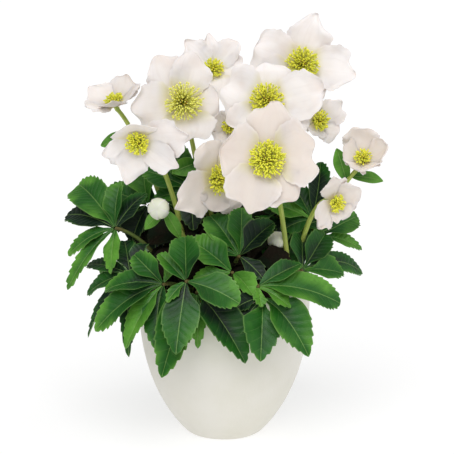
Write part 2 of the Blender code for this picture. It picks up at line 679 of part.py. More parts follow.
def make_soil(roots, look, where, cutters):
    """The soil that fills the pot, with a plain hole for every stem."""
    bottom = POT_FLOOR + GAP
    shoulder = SOIL_TOP - SOIL_DOME
    heights = ring_heights(bottom, shoulder, INNER_RINGS)
    side = [(pot_radius(z) - POT_WALL - SOIL_CLEARANCE, z) for z in heights]
    dome = (side[-1][0] * DOME_RING, SOIL_TOP - SOIL_DOME * DOME_RING ** 2)
    profile = [(0, SOIL_TOP), dome, *reversed(side), (0, bottom)]
    soil = turned_solid("soil", profile, POT_SIDES, where)
    form = bmesh.new()
    for x, y, radius in roots:
        made = bmesh.ops.create_cone(
            form, cap_ends=True, segments=HOLE_SIDES, radius1=radius, radius2=radius, depth=2 * ROOT_DEPTH
        )
        bmesh.ops.translate(form, verts=made["verts"], vec=(x * MM, y * MM, SOIL_TOP - GAP))
    holes = form_object("stem_holes", form, cutters)
    holes.hide_render = True
    holes.display_type = "WIRE"
    cut = soil.modifiers.new("stem_holes", "BOOLEAN")
    cut.operation = "DIFFERENCE"
    cut.object = holes
    return coloured(soil, look)


def main():
    clear_scene()
    plant = collection("potted_christmas_rose")
    cutters = collection("cutters")
    looks = {key: finish(*look) for key, look in LOOKS.items()}
    make_pot(looks["ceramic"], plant)
    roots = [(*leaf.root, PETIOLE_RADIUS + HOLE_CLEARANCE) for leaf in LEAVES.values()]
    roots += [(*grown.root, STEM_RADIUS + HOLE_CLEARANCE) for grown in (*BLOOMS.values(), *BUDS.values())]
    make_soil(roots, looks["soil"], plant, cutters)
    for name, leaf in LEAVES.items():
        make_leaf(name, leaf, looks["leaf"], plant)
    for name, bloom in BLOOMS.items():
        make_bloom(name, bloom, looks, plant)
    for name, bud in BUDS.items():
        make_bud(name, bud, looks, plant)


main()
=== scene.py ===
"""The looks of a potted Christmas rose: Helleborus niger in bloom, in a rounded white ceramic pot.

The packed solids are loaded as the frame, and each of them is replaced by a finer piece of the same
form. Metres, +Z up. The plant tables hold places in millimetres and angles in degrees. A facing is
(azimuth, elevation): azimuth 0 looks to the front and 90 to +X. In the plane that a facing gives,
angle 0 points right and 90 up, seen from outside.
"""

import math
from collections import namedtuple

import bpy
import numpy as np
from bpy.props import FloatProperty, FloatVectorProperty, IntProperty, PointerProperty
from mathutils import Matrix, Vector


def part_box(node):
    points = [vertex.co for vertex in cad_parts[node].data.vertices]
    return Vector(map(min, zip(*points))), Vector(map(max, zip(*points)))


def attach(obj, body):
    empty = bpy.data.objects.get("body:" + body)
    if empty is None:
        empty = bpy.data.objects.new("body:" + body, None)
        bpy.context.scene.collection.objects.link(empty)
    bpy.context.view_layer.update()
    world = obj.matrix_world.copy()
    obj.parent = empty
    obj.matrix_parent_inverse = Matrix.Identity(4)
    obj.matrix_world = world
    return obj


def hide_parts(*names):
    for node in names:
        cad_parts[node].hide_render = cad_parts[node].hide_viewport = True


bl_info = {
    "name": "Potted Christmas rose",
    "version": (1, 0, 0),
    "blender": (4, 5, 0),
    "location": "3D View > Sidebar > Christmas rose",
    "description": "Dresses a potted Christmas rose: pot, soil, leaves, flowers, buds and a plain stage",
    "category": "Add Mesh",
}

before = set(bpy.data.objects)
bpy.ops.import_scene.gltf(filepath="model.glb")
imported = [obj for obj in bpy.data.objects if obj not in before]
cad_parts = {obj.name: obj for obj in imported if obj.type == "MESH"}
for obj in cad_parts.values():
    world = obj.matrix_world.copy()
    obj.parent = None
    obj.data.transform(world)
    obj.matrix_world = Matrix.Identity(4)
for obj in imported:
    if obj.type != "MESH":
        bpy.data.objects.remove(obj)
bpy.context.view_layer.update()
POT_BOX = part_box("pot")
ROOT_BODY = "root"

MM = 0.001
UP = np.array((0.0, 0.0, 1.0))
TINY = 1e-12
GOLDEN_TURN = math.pi * (3 - math.sqrt(5))

Leaflet = namedtuple("Leaflet", "angle length width droop tone", defaults=(0.1, 0.35))
Leaf = namedtuple("Leaf", "root hub facing leaflets")
Sepal = namedtuple("Sepal", "angle length width point lean tip opening", defaults=(0.15, 0, 0, 0))
Bract = namedtuple("Bract", "share azimuth elevation length width roll")
Bloom = namedtuple(
    "Bloom", "root centre facing cup sepals boss stamens bracts ripeness age", defaults=((), 1, 0)
)
Bud = namedtuple("Bud", "root centre facing size bracts")

# the rows of the tables hold the fields of Leaflet, Sepal and Bract, in their order
LEAVES = {
    "leaf_left_upper": Leaf((-46, -6), (-93, -12, 183), (-28, 38), (
        (137, 71, 28, 0.05), (163, 59, 22, 0.12, 0.75), (202, 43, 14, 0.2), (233, 54, 15, 0.3),
        (285, 31, 16, 0.35), (68, 44, 21, 0.05, 0.9), (105, 44, 17, 0.0),
    )),
    "leaf_left_behind": Leaf((-46, 5), (-66, 14, 198), (-25, 35), (
        (165, 46, 24, 0.1), (112, 44, 24, 0.0), (215, 36, 18, 0.2, 0.8), (261, 33, 23, 0.08, 0.8),
    )),
    "leaf_left_low": Leaf((-48, -20), (-79, -36, 148), (-40, 45), (
        (172, 56, 14, 0.15, 0.9), (200, 41, 21, 0.25, 0.8), (240, 46, 14, 0.5, 0.7),
        (300, 50, 14, 0.6, 0.7), (126, 43, 18, 0.05, 0.9), (84, 32, 16, 0.0, 0.8),
    )),
    "leaf_front_left": Leaf((-30, -34), (-50, -66, 147), (-20, 42), (
        (145, 41, 18, 0.05), (180, 52, 22, 0.12), (206, 60, 25, 0.3), (243, 46, 21, 0.45, 0.15),
        (272, 37, 26, 0.52, 0.2), (77, 24, 14, 0.05),
    )),
    "leaf_front": Leaf((-14, -42), (-31, -77.5, 152.5), (-5, 42), (
        (93, 41, 23, 0.0, 0.75), (135, 34, 14, 0.0, 0.2), (345, 46, 29, 0.2, 0.5),
        (266, 48, 28, 0.35, 0.45), (228, 22, 10, 0.1, 0.3),
    )),
    "leaf_front_under": Leaf((-2, -46), (-23, -67, 140), (0, 45), (
        (238, 53, 29, 0.6, 0.5), (313, 54, 29, 0.55, 0.6), (276, 31, 12, 0.65),
    )),
    "leaf_centre": Leaf((4, -28), (13, -45, 166), (0, 38), (
        (121, 48, 27, 0.0, 0.25), (51, 42, 20, 0.0, 0.8), (85, 44, 20, 0.0, 0.3), (157, 46, 18, 0.05),
        (320, 26, 15, 0.2, 0.8),
    )),
    "leaf_centre_low": Leaf((8, -42), (7, -61, 156), (-5, 40), (
        (141, 48, 24, 0.05, 0.45), (187, 32, 14, 0.1), (319, 24, 18, 0.2),
    )),
    "leaf_front_low": Leaf((18, -50), (32, -72, 137), (5, 42), (
        (265, 41, 29, 0.4, 0.6), (320, 48, 30, 0.4, 0.3), (192, 24, 14, 0.25, 0.8),
        (222, 29, 16, 0.5, 0.9),
    )),
    "leaf_front_right": Leaf((30, -40), (28, -73, 147), (12, 48), (
        (24, 46, 16, 0.05, 0.9), (322, 29, 20, 0.25, 0.4), (268, 16, 14, 0.3), (357, 70, 30, 0.24, 0.3),
    )),
    "leaf_right": Leaf((44, -32), (67, -32, 151), (30, 45), (
        (349, 37, 22, 0.1, 0.3), (42, 48, 20, 0.0), (15, 76, 19, 0.34, 0.3), (74, 38, 24, 0.0, 0.6),
    )),
    "leaf_inner_left": Leaf((-20, 10), (-27, -4, 215), (-5, 35), (
        (157, 48, 26, 0.05, 0.35), (120, 46, 21, 0.0, 0.6), (195, 32, 17, 0.1, 0.4),
        (271, 33, 18, 0.12, 0.8),
    )),
    "leaf_inner_right": Leaf((36, 14), (76, 2, 188), (10, 35), (
        (154, 48, 24, 0.05, 0.25), (113, 40, 19, 0.0, 0.7), (72, 54, 17, 0.0, 0.6),
        (190, 29, 18, 0.08, 0.8),
    )),
    "leaf_back_left": Leaf((-38, 30), (-74, 46, 160), (-120, 48), (
        (90, 44, 24, 0.1), (145, 48, 26, 0.25), (200, 50, 26, 0.35), (262, 48, 26, 0.5),
        (335, 44, 24, 0.3),
    )),
    "leaf_back": Leaf((-12, 44), (-22, 78, 152), (-170, 45), (
        (90, 40, 22, 0.1), (150, 46, 26, 0.25), (205, 48, 26, 0.35), (270, 50, 26, 0.5),
        (338, 44, 24, 0.3),
    )),
    "leaf_back_right": Leaf((24, 44), (44, 72, 160), (150, 45), (
        (90, 40, 24, 0.1), (148, 46, 26, 0.25), (205, 50, 26, 0.35), (268, 48, 26, 0.5),
        (340, 44, 24, 0.3),
    )),
    "leaf_inner_back": Leaf((-10, 30), (-14, 34, 192), (0, 40), (
        (200, 44, 24, 0.1, 0.8), (160, 44, 24, 0.0, 0.8), (90, 36, 22, 0.0, 0.8),
        (30, 34, 22, 0.0, 0.8), (335, 32, 20, 0.1, 0.8),
    )),
    "leaf_right_back": Leaf((54, 20), (84, 18, 170), (40, 42), (
        (10, 52, 21, 0.0), (42, 44, 22, 0.1), (80, 42, 22, 0.1, 0.6), (118, 38, 20, 0.1, 0.8),
        (340, 42, 16, 0.15),
    )),
}

# hubs of the small leaves between the others, and the azimuths that they face: those deep in the shade
# of the plant, whose near-black finish is painted shade, and those nearer to its outside
PAINTED_SHADE_HUBS = (
    (-52, -8, 168, -30), (-30, -24, 172, -10), (-12, -8, 182, 0), (14, -10, 178, 10), (34, 0, 168, 20),
    (-10, -36, 158, 0), (22, -36, 156, 10),
)
GREEN_HUBS = (
    (-40, 22, 178, -60), (0, 26, 178, 180), (36, 28, 176, 120), (-60, 6, 150, -50), (56, 10, 152, 70),
    (-54, 12, 200, -30), (52, 8, 192, 20), (62, 0, 178, 15),
)

BLOOMS = {
    "bloom_front": Bloom((56, -22), (35.5, -72, 252), (-5, 14), (76, 92), (
        (88, 50, 37, 0.95), (14, 38.5, 50, 0), (-66, 38, 36, 0.1, 0.3),
        (-124, 40.5, 42, 0.3, 0.5, 0.14), (168, 39.5, 44, 0.6),
    ), 15.5, 300, (), 1, 0.9),
    "bloom_middle": Bloom((22, -2), (35.5, -22, 292.5), (0, 18), (74, 88), (
        (94, 32, 42), (10, 48, 39), (-54, 42, 38), (-128, 38, 36), (160, 38, 42),
    ), 15, 220, ((0.7, 60, 20, 24, 14, 0),)),
    "bloom_top_right": Bloom((24, 24), (67, 25, 318), (0, 14), (74, 90), (
        (76, 45, 36, 0.9, -0.15), (160, 44, 38, 0), (-4, 45, 38, 0.6, -0.15), (-58, 32, 32),
        (-154, 43, 36),
    ), 15, 220, ((0.5, 120, 20, 24, 14, 0),)),
    "bloom_upper_left": Bloom((-10, 0), (-35, -12, 291), (8, 10), (72, 86), (
        (117, 43, 34, 0), (189, 42, 40, 0.1), (74, 41, 33, 0.2), (-5, 31, 34, 0.4), (-82, 34, 44),
    ), 17, 150, ((0.53, -60, -10, 24, 18, -70), (0.53, 50, -25, 26, 20, 70)), 0.4, 0.2),
    "bloom_top_middle": Bloom((-6, 12), (-9, 28, 313), (-5, 28), (70, 85), (
        (101, 32, 21, 0.85), (136, 34, 23, 0.3), (52, 33, 22, 0.6), (2, 28, 24, 0.3), (-85, 25, 34),
    ), 9, 110),
    "bloom_left": Bloom((-28, -14), (-69, -50, 264), (-12, -6), (64, 82), (
        (205, 34, 21, 0.9), (254, 35, 26, 0.95), (-29, 38, 24, 0.3), (12, 47, 32, 0.8),
        (102, 23, 36, 0.15, 0, 0, -55),
    ), 9.6, 130, (), 1, 0.15),
    "bloom_left_cup": Bloom((-40, 16), (-92, 5, 286.5), (-32, 62), (64, 32), (
        (84, 27, 31), (165, 29, 26, 0.15, 0, 0, 35), (230, 27, 23, 0.15, 0, 0, 30), (302, 24, 23),
        (14, 28, 25, 0.15, 0, 0, 15),
    ), 8, 70, ((0.62, -95, -10, 18, 13, -70), (0.735, -95, -12, 30, 16, -80)), 1, 0.3),
    "bloom_side": Bloom((0, -14), (-8, -22, 228), (40, 4), (70, 86), (
        (111, 34, 33, 0), (30, 40, 40), (-45, 36, 34), (-105, 28, 30), (201, 50, 38, 0.9, 0, 0.12, 6),
    ), 14, 170, (), 1, 0.8),
    "bloom_small_middle": Bloom((10, 8), (5, -4, 268), (-5, 25), (60, 62), (
        (90, 17, 16), (162, 19, 17), (234, 19, 17), (306, 17, 16), (18, 17, 16),
    ), 6, 50),
    "bloom_right_side": Bloom((44, 28), (78, 8, 273), (36, 6), (62, 64), (
        (90, 15, 22), (22, 27, 24, 0.5, 0.3), (-34, 23, 25, 0.2), (-110, 15, 23), (165, 18, 22),
    ), 8.5, 90, (), 1, 0.2),
    "bloom_right_cup": Bloom((60, 6), (118, -10, 241), (-8, 38), (60, 28), (
        (98, 29, 30), (162, 23, 22), (234, 22, 21), (306, 23, 21), (14, 29, 25, 0.6),
    ), 7, 60, ((0.73, -95, 74, 33, 15, -90), (0.78, 95, -4, 28, 12, 60)), 1, 0.6),
    "bloom_lower_right": Bloom((60, -8), (91.5, -38, 211), (26, -4), (60, 66), (
        (102, 25, 24, 0.5), (34, 24, 23, 0.3), (-30, 19, 18), (-85, 18, 14, 0.6),
        (214, 28, 23, 0.4, 0.2),
    ), 7, 80, (), 1, 0.7),
}

BUDS = {
    "bud_left": Bud((-18, -24), (-54, -48, 207), (-10, 14), (9.1, 15), (
        (0.92, -95, -42, 22, 12, -70), (0.92, 95, -58, 26, 13, 70),
    )),
    "bud_right": Bud((32, -18), (45, -22, 174), (5, 35), (8, 16), (
        (0.78, -95, 10, 18, 10, -50), (0.78, 95, 30, 18, 10, 50),
    )),
}

# where random draws start, apart from the number of the leaf, flower or bud
SOIL_SEED = 5
SMALL_LEAF_SEED = 90
LEAF_SEED = 100
SEPAL_SEED = 200
STAMEN_SEED = 300
STEM_SEED = 400
BUD_SEED = 500

# below, a pair is the least and the most that is drawn, or where a change starts and ends, as shares of
# the way. Slopes, steepness and heights without MM are shares too, and angles are in degrees
ANY_PHASE = (0, 6.3)

# how neighbours lie over each other: the order is that of the solids, and a lap is the slope of an edge
SEPAL_ORDER = (0, 3, 1, 4, 2)
WIDEST_SHARE = 60
LAP_OVER = 0.32
LAP_UNDER = -0.10
LAP_FREE = 0.18

# the pot and the soil
POT_BELLY = 2.63
POT_HEEL = 0.88
POT_WALL = 5 * MM
POT_FLOOR = 7 * MM
POT_ROWS = 60
POT_SIDES = 128
HEEL_HEIGHT = 1.5 * MM
RIM_STEPS = 7
SOIL_TOP = 118 * MM
SOIL_DOME = 3 * MM
SOIL_GAP = 1 * MM
SOIL_ROWS = 60
SOIL_SIDES = 180
WALL_ROWS = 12
LUMP_SIZES = (4 * MM, 14 * MM)
CRUMB_SIZES = (2 * MM, 4 * MM)
CRUMB_SHARE = 0.7
LUMP_WAVES = 14
CHIP_LENGTHS = (1.2, 3.2)
CHIP_RADII = (0.5, 1.1)
CHIP_STEPS = (-1, -0.7, 0, 0.7, 1)
CHIP_PROFILE = (0.4, 1, 1.1, 0.9, 0.3)
CHIP_SIDES = 5

# the lines of stems and petioles
ROOT_DEPTH = 20 * MM
STEM_STRAIGHT = 4 * MM
STEM_LEAN = 0.2
STEM_RISE = 0.38
PETIOLE_RISE = 0.55
PETIOLE_DIP = 4 * MM
PETIOLE_REACH = 0.4
FLOWER_BEND = 20 * MM
FLOWER_BEHIND = 0.7 * MM
BUD_BEND = 14 * MM
BUD_BEHIND = 0.3 * MM
RIM_CLEARANCE = 14 * MM
TIP_SHARE = 0.75
STEM_FLARE = 0.35
PETIOLE_FLARE = -0.15
FLARED = (0.95, 1)
STEM_RINGS = 36
STEM_SIDES = 14

# the leaflets; a tooth's phases run from one side vein to the next
BLADE_START = 1.5 * MM
LEAF_COLUMNS = 15
ROWS_PER_TOOTH = 5
FEWEST_TEETH = 5
VEIN_STEPS = (0.7, 1.3)
VEIN_CURVE = 0.3
LEAF_ARCH = 0.2
LEAF_ARCH_REACH = 75 * MM
LEAF_LAYER = 1.2 * MM
LAYERED = (0.05, 0.35)
COVERED_CALM = 0.25
LEAF_FOOT = 0.05
LEAF_THINNEST = 0.12 * MM
LEAF_WIDEST = (0.52, 0.64)
LEAF_TAPER = (0.5, 0.78)
HALVINGS = 24
SECTOR_SLACK = 0.3 * MM
SECTOR_FREE = (7 * MM, 14 * MM)
TOOTH_PHASES = (0, 0.2, 0.4, 0.6, 0.8, 1)
TOOTH_REACH = (-0.4, -0.1, 0.2, 0.45, 0.6, -0.4)
TOOTH_TIP = 0.8
TOOTH_DEPTHS = (0.5, 1.2)
TEETH_FROM = (0.42, 0.56)
TEETH_TO = (0.92, 1.0)
LEAST_KEEL = 0.05
GROOVE_WIDTH = 0.9 * MM
QUILTED = (0.1, 0.3)
LEAF_WAVES = (1.2, 2.4)
WAVE_HEIGHTS = (0.6, 1.3)
TONE_SPREAD = (-0.25, 0.25)
VEIN_SHIFT = 0.3

# the small leaves between the others
SMALL_LEAFLETS = 5
SMALL_TURN = 72
SMALL_LENGTHS = (30, 42)
SMALL_WIDTHS = (20, 25)
SMALL_DROOP = 0.2
SMALL_TONES = (0.5, 1.0)
SMALL_ELEVATION = 35
SMALL_ROOT = 0.4

# the sepals
SEPAL_START = 1.5 * MM
SEPAL_ROWS = 34
SEPAL_COLUMNS = 27
SEPAL_LAP = 0.42
SEPAL_LAYER = 0.15 * MM
SEPAL_THINNEST = 0.35 * MM
SEPAL_FOOT = 0.12
SEPAL_WIDEST = 0.58
FOOT_EXTRA = 8
FOOT_FREE = (0.15, 0.4)
SWELL = 0.05
SWELL_TURNS = (0.8, 1.6)
RIPPLE_TURNS = ((3, 5), (6, 9))
FULLY_WAVY = 45
BROAD_WAVES = 4
BROAD_TURNS = (0.5, 1.4)
BROAD_SLANTS = (-0.9, 0.9)
FRILL = 0.45
FRILL_TURNS = (2.2, 3.2)
SPINE_GROOVE = 0.5 * MM
SPINE_WIDTH = 0.1
RIB_HEIGHT = 0.07 * MM
RIB_TURN = 15
TIP_BENDS = (0.75, 1.0)
LOBE_TURNS = (0.5, 1.1)
TIP_WIDTH = 0.22

# the bracts
BRACT_ROWS = 22
BRACT_COLUMNS = 11
BRACT_POINT = 0.8
BRACT_SAG = 0.1
BRACT_ARCH = 0.12
BRACT_FOLD = 0.32
BRACT_GROOVE = 0.3 * MM
BRACT_WAVE = 0.5 * MM
BRACT_TURNS = (0.8, 1.6)
BRACT_VEINS = 7
BRACT_TONE = 0.05

# the middle of a flower: along a filament, along an anther in shares of its size, and round them both
FILAMENT_SHARES = (0.0, 0.3, 0.6, 0.84, 0.92, 1.0)
ANTHER_STEPS = (0, 0.2, 0.8, 1.4, 1.8)
STAMEN_RADII = (0.38, 0.32, 0.27, 0.2, 0.42, 0.62, 0.5, 0.12)
STAMEN_RIPE = (0, 0, 0.1, 0.3, 0.9, 1, 1, 1)
STAMEN_SIDES = 5
STAMEN_PLACES = (0.94, 1.0)
STAMEN_TURNS = 0.2
STAMEN_HEIGHTS = (0.85, 1.08)
STAMEN_SPREADS = (0.9, 1.04)
STAMEN_BULKS = (0.85, 1.15)
BOSS_FOOT = 0.5 * MM
BOSS_INSIDE = 13
NECTARY_SHARE = 0.9
FEWEST_NECTARIES = 8
NECTARY_FOOT = 0.16
NECTARY_RADII = (0.3, 0.6, 0.8, 0.9)
NECTARY_SIDES = 6
PISTILS = 6
PISTIL_RADII = (1.0, 1.1, 1.0, 0.7, 0.45, 0.35, 0.3)
PISTIL_SIDES = 7

# the buds
BUD_SEPALS = 5
BUD_ROWS = 26
BUD_COLUMNS = 19
BUD_ENDS = (0.06, 0.999)
BUD_INSIDE = 0.6 * MM
BUD_SHORTER = 0.4 * MM
BUD_HALF_WIDTH = 58
BUD_TWIST = 0.35
BUD_UNEVEN = (-0.02, 0.02)

# the stage
SENSOR_WIDTH = 36
FLOOR_REACH = 15
CLIP_END = 60

SHARP_ANGLE = math.radians(55)
SMOOTHLY = {"interpolation_type": "SMOOTHSTEP"}


def linear(colour):
    """The linear red, green and blue of an sRGB hex colour."""
    srgb = np.array([int(colour[i:i + 2], 16) for i in (0, 2, 4)]) / 255
    return tuple(np.where(srgb <= 0.04045, srgb / 12.92, ((srgb + 0.055) / 1.055) ** 2.4))


def unit(vectors):
    """The vectors, brought to length 1."""
    return vectors / np.maximum(np.linalg.norm(vectors, axis=-1, keepdims=True), TINY)


def smooth(low, high, x):
    """0 below low, 1 above high, and an S-curve between."""
    share = np.clip((x - low) / (high - low), 0, 1)
    return share * share * (3 - 2 * share)


def facing_frame(facing):
    """Right, up and outward directions of a face that looks that way."""
    azimuth, elevation = np.radians(facing)
    out = np.array((
        math.sin(azimuth) * math.cos(elevation),
        -math.cos(azimuth) * math.cos(elevation),
        math.sin(elevation),
    ))
    right = np.array((math.cos(azimuth), math.sin(azimuth), 0.0))
    return right, np.cross(out, right), out


def in_plane(around, angle):
    """The direction at an angle in the plane that a frame of right, up and out gives."""
    right, up, _ = around
    turn = math.radians(angle)
    return right * math.cos(turn) + up * math.sin(turn)


def spread_round(around, turns):
    """Directions in the same plane, at turns in radians."""
    right, up, _ = around
    return right * np.cos(turns)[..., None] + up * np.sin(turns)[..., None]


def by_side(v, pair):
    """The first of a pair left of a blade's spine, where v is below 0, and the second right of it."""
    return np.where(v < 0, pair[0], pair[1])


def drawn_wave(draw, turns, x):
    """A sine wave along x, whose number of turns and phase are drawn."""
    return np.sin(2 * math.pi * (draw.uniform(*turns) * x + draw.uniform()))


def neighbour_laps(blades, ranks):
    """Each blade's share of the ring and its edges' laps, in turning order: the lower rank is on top."""
    shares, laps = [], []
    for i, blade in enumerate(blades):
        share, lap = [], []
        for step in (1, -1):
            other = (i + step) % len(blades)
            spacing = (step * (blades[other].angle - blade.angle)) % 360
            share.append(min(spacing / 2, WIDEST_SHARE))
            if spacing > 2 * WIDEST_SHARE:
                lap.append(LAP_FREE)
            else:
                lap.append(LAP_OVER if ranks[i] < ranks[other] else LAP_UNDER)
        shares.append(share)
        laps.append(lap)
    return shares, laps


class Heap:
    """Points, faces and marks gathered for one mesh. A mark is a vector that a material reads."""

    def __init__(self):
        self.points, self.place, self.span, self.faces, self.total = [], [], [], [], 0

    def add(self, points, faces, looks, place=(0, 0, 0), span=(0, 0, 0)):
        """faces holds arrays of corner indices, and looks the material number of each, or of all."""
        self.points.append(points)
        self.place.append(np.broadcast_to(place, points.shape))
        self.span.append(np.broadcast_to(span, points.shape))
        numbers = np.broadcast_to(looks, len(faces))
        self.faces += [(corners + self.total, number) for corners, number in zip(faces, numbers)]
        self.total += len(points)

    def mesh(self, name):
        """The mesh: corner lists are laid end to end, and each face starts where the last one ended."""
        points = np.concatenate(self.points)
        corners = np.concatenate([c.ravel() for c, _ in self.faces])
        sizes = np.concatenate([np.full(len(c), c.shape[1]) for c, _ in self.faces])
        numbers = np.concatenate([np.full(len(c), number) for c, number in self.faces])
        starts = np.concatenate([[0], np.cumsum(sizes)[:-1]])
        mesh = bpy.data.meshes.new(name)
        mesh.vertices.add(len(points))
        mesh.vertices.foreach_set("co", points.astype(np.float32).ravel())
        mesh.loops.add(len(corners))
        mesh.loops.foreach_set("vertex_index", corners.astype(np.int32))
        mesh.polygons.add(len(sizes))
        mesh.polygons.foreach_set("loop_start", starts.astype(np.int32))
        mesh.polygons.foreach_set("material_index", numbers.astype(np.int32))
        mesh.update(calc_edges=True)
        for key, parts in (("place", self.place), ("span", self.span)):
            attribute = mesh.attributes.new(key, "FLOAT_VECTOR", "POINT")
            attribute.data.foreach_set("vector", np.concatenate(parts).astype(np.float32).ravel())
        mesh.shade_smooth()
        mesh.set_sharp_from_angle(angle=SHARP_ANGLE)
        return mesh


def piece(name, heap, looks, slot, *nodes):
    """The finished object: it rides on the plant's body and stands for the CAD nodes."""
    mesh = heap.mesh(name)
    for material in looks:
        mesh.materials.append(material)
    obj = bpy.data.objects.new(name, mesh)
    bpy.context.scene.collection.objects.link(obj)
    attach(obj, ROOT_BODY)
    if nodes:
        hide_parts(*nodes)
    return obj


def grid_normals(grid):
    """Unit normals of a grid of points: the cross product of its steps down the rows and across."""
    return unit(np.cross(np.gradient(grid, axis=1), np.gradient(grid, axis=0)))


def shell(grid, thickness):
    """A closed thin solid: the grid moved half the thickness both ways along its normals, and a rim.

    Gives back the points and the faces of the top, the underside and the rim.
    """
    rows, columns = grid.shape[:2]
    half = grid_normals(grid) * np.broadcast_to(thickness, grid.shape[:2])[..., None] / 2
    points = np.concatenate([(grid + half).reshape(-1, 3), (grid - half).reshape(-1, 3)])
    index = np.arange(rows * columns).reshape(rows, columns)
    top = np.stack([index[:-1, :-1], index[:-1, 1:], index[1:, 1:], index[1:, :-1]], -1).reshape(-1, 4)
    under = top[:, ::-1] + index.size
    edge = np.concatenate([index[0, :-1], index[:-1, -1], index[-1, :0:-1], index[:0:-1, 0]])
    rim = np.stack([np.roll(edge, -1), edge, edge + index.size, np.roll(edge, -1) + index.size], -1)
    return points, (top, under, rim)


def ring_faces(lines, rings, sides):
    """Faces between neighbouring rings of each line, and fans to its ends, which follow all the rings."""
    index = np.arange(lines * rings * sides).reshape(lines, rings, sides)
    turned = np.roll(index, -1, axis=2)
    walls = np.stack([index[:, :-1], turned[:, :-1], turned[:, 1:], index[:, 1:]], -1).reshape(-1, 4)
    ends = index.size + np.arange(lines * 2).reshape(lines, 2)
    low = np.stack([turned[:, 0], index[:, 0], np.repeat(ends[:, :1], sides, 1)], -1).reshape(-1, 3)
    high = np.stack([index[:, -1], turned[:, -1], np.repeat(ends[:, 1:], sides, 1)], -1).reshape(-1, 3)
    return walls, np.concatenate([low, high])


def tubes(paths, radii, sides):
    """Closed tubes, one for each path: a ring of points round each point of the path, square to it.

    A ring starts at the side where the ring before it starts, less its part along the path. The first
    starts square to Z, or to X where the path starts nearly upright. Gives back points and faces.
    """
    ahead = unit(np.gradient(paths, axis=1))
    lean = np.where(np.abs(ahead[:, 0, 2:]) < 0.8, UP, (1.0, 0.0, 0.0))
    side = [unit(np.cross(ahead[:, 0], lean))]
    for way in ahead.transpose(1, 0, 2)[1:]:
        side.append(unit(side[-1] - way * np.sum(side[-1] * way, axis=-1, keepdims=True)))
    side = np.stack(side, axis=1)
    other = np.cross(ahead, side)
    turn = np.arange(sides) / sides * 2 * math.pi
    spokes = side[:, :, None] * np.cos(turn)[:, None] + other[:, :, None] * np.sin(turn)[:, None]
    rings = paths[:, :, None] + spokes * np.broadcast_to(radii, paths.shape[:2])[:, :, None, None]
    points = np.concatenate([rings.reshape(-1, 3), paths[:, (0, -1)].reshape(-1, 3)])
    return points, ring_faces(len(paths), paths.shape[1], sides)


def shell_marks(*values):
    """Marks for the points of a shell, from three numbers for each point of its grid."""
    return np.tile(np.stack(np.broadcast_arrays(*values), -1).reshape(-1, 3), (2, 1))


def tube_marks(values, sides):
    """Marks for the points of tubes, from one for each point of each path."""
    ends = values[:, (0, -1)].reshape(-1, 3)
    return np.concatenate([np.repeat(values[:, :, None], sides, 2).reshape(-1, 3), ends])


def cubic(start, first, last, end, s):
    """Points of a cubic curve at the shares s."""
    s = s[:, None]
    near = start * (1 - s) ** 3 + first * 3 * s * (1 - s) ** 2
    return near + last * 3 * s * s * (1 - s) + end * s ** 3


def soil_point(root):
    """The place where a stem comes out of the soil."""
    return np.array((root[0] * MM, root[1] * MM, SOIL_TOP))


def stem_line(root, top, out, reach):
    """A flower stem's points: down in the soil, a cubic up to the flower, and straight along its axis."""
    start = soil_point(root)
    away = (top - start) * (1, 1, 0)
    end = top - out * STEM_STRAIGHT
    first = start + UP * STEM_RISE * (top[2] - start[2])
    line = cubic(start, first, end - out * reach - away * STEM_LEAN, end, np.linspace(0, 1, STEM_RINGS))
    return np.concatenate([[start - UP * ROOT_DEPTH], line, [top]])


def petiole_line(root, hub):
    """A petiole's points: down in the soil, and a cubic over the pot's rim to its leaflets."""
    start = soil_point(root)
    away = (hub - start) * (1, 1, 0)
    height = POT_BOX[1].z
    lift = max(PETIOLE_RISE * (hub[2] - start[2]), height + RIM_CLEARANCE / 2 - SOIL_TOP)
    over = max(hub[2] - PETIOLE_DIP, height + RIM_CLEARANCE)
    last = hub - away * PETIOLE_REACH - UP * (hub[2] - over)
    line = cubic(start, start + UP * lift, last, hub, np.linspace(0, 1, STEM_RINGS))
    return np.concatenate([[start - UP * ROOT_DEPTH], line])


def point_on(line, share):
    """The place on a stem's line at a share of its way from the soil to its top."""
    at = 1 + share * (len(line) - 2)
    low = int(min(at, len(line) - 2))
    return line[low] + (line[low + 1] - line[low]) * (at - low)


def leaf_outline(t, widest, taper):
    """Half width of a leaflet at t of its length, as a share: a wedge at first, then full, then an end
    that is blunt where taper is small and a straight wedge where it is 1."""
    t = np.clip(t, 0, 1)
    rise = taper * widest / (1 - widest)
    blade = (t / widest) ** rise * ((1 - t) / (1 - widest)) ** taper
    return LEAF_FOOT * (1 - t) + (1 - LEAF_FOOT) * blade


def slanted_halves(t, length, reach, slant, widest, taper):
    """The half width of each row of a leaflet, whose rows slant forwards: the outline's value where the
    row meets the margin, found by halving."""
    low, high = 0 * t, 0 * t + 1.1 * reach
    for _ in range(HALVINGS):
        half = (low + high) / 2
        meets = t + (1 - VEIN_CURVE) * slant * half / length
        wide = half > reach * leaf_outline(meets, widest, taper)
        low, high = np.where(wide, low, half), np.where(wide, half, high)
    return np.maximum(half, LEAF_THINNEST)


def sector_limits(half, distance, share):
    """Half widths held inside the blade's share of the ring near the hub, and free further out."""
    limit = distance * math.sin(math.radians(share)) + SECTOR_SLACK
    return np.minimum(half, limit + smooth(*SECTOR_FREE, distance) * half)[:, None]


def running_axes(spine, out):
    """At each point of a spine the directions to its side, up out of the blade, and ahead."""
    ahead = unit(np.gradient(spine, axis=0))
    side = unit(np.cross(ahead, out))
    return side, np.cross(side, ahead), ahead


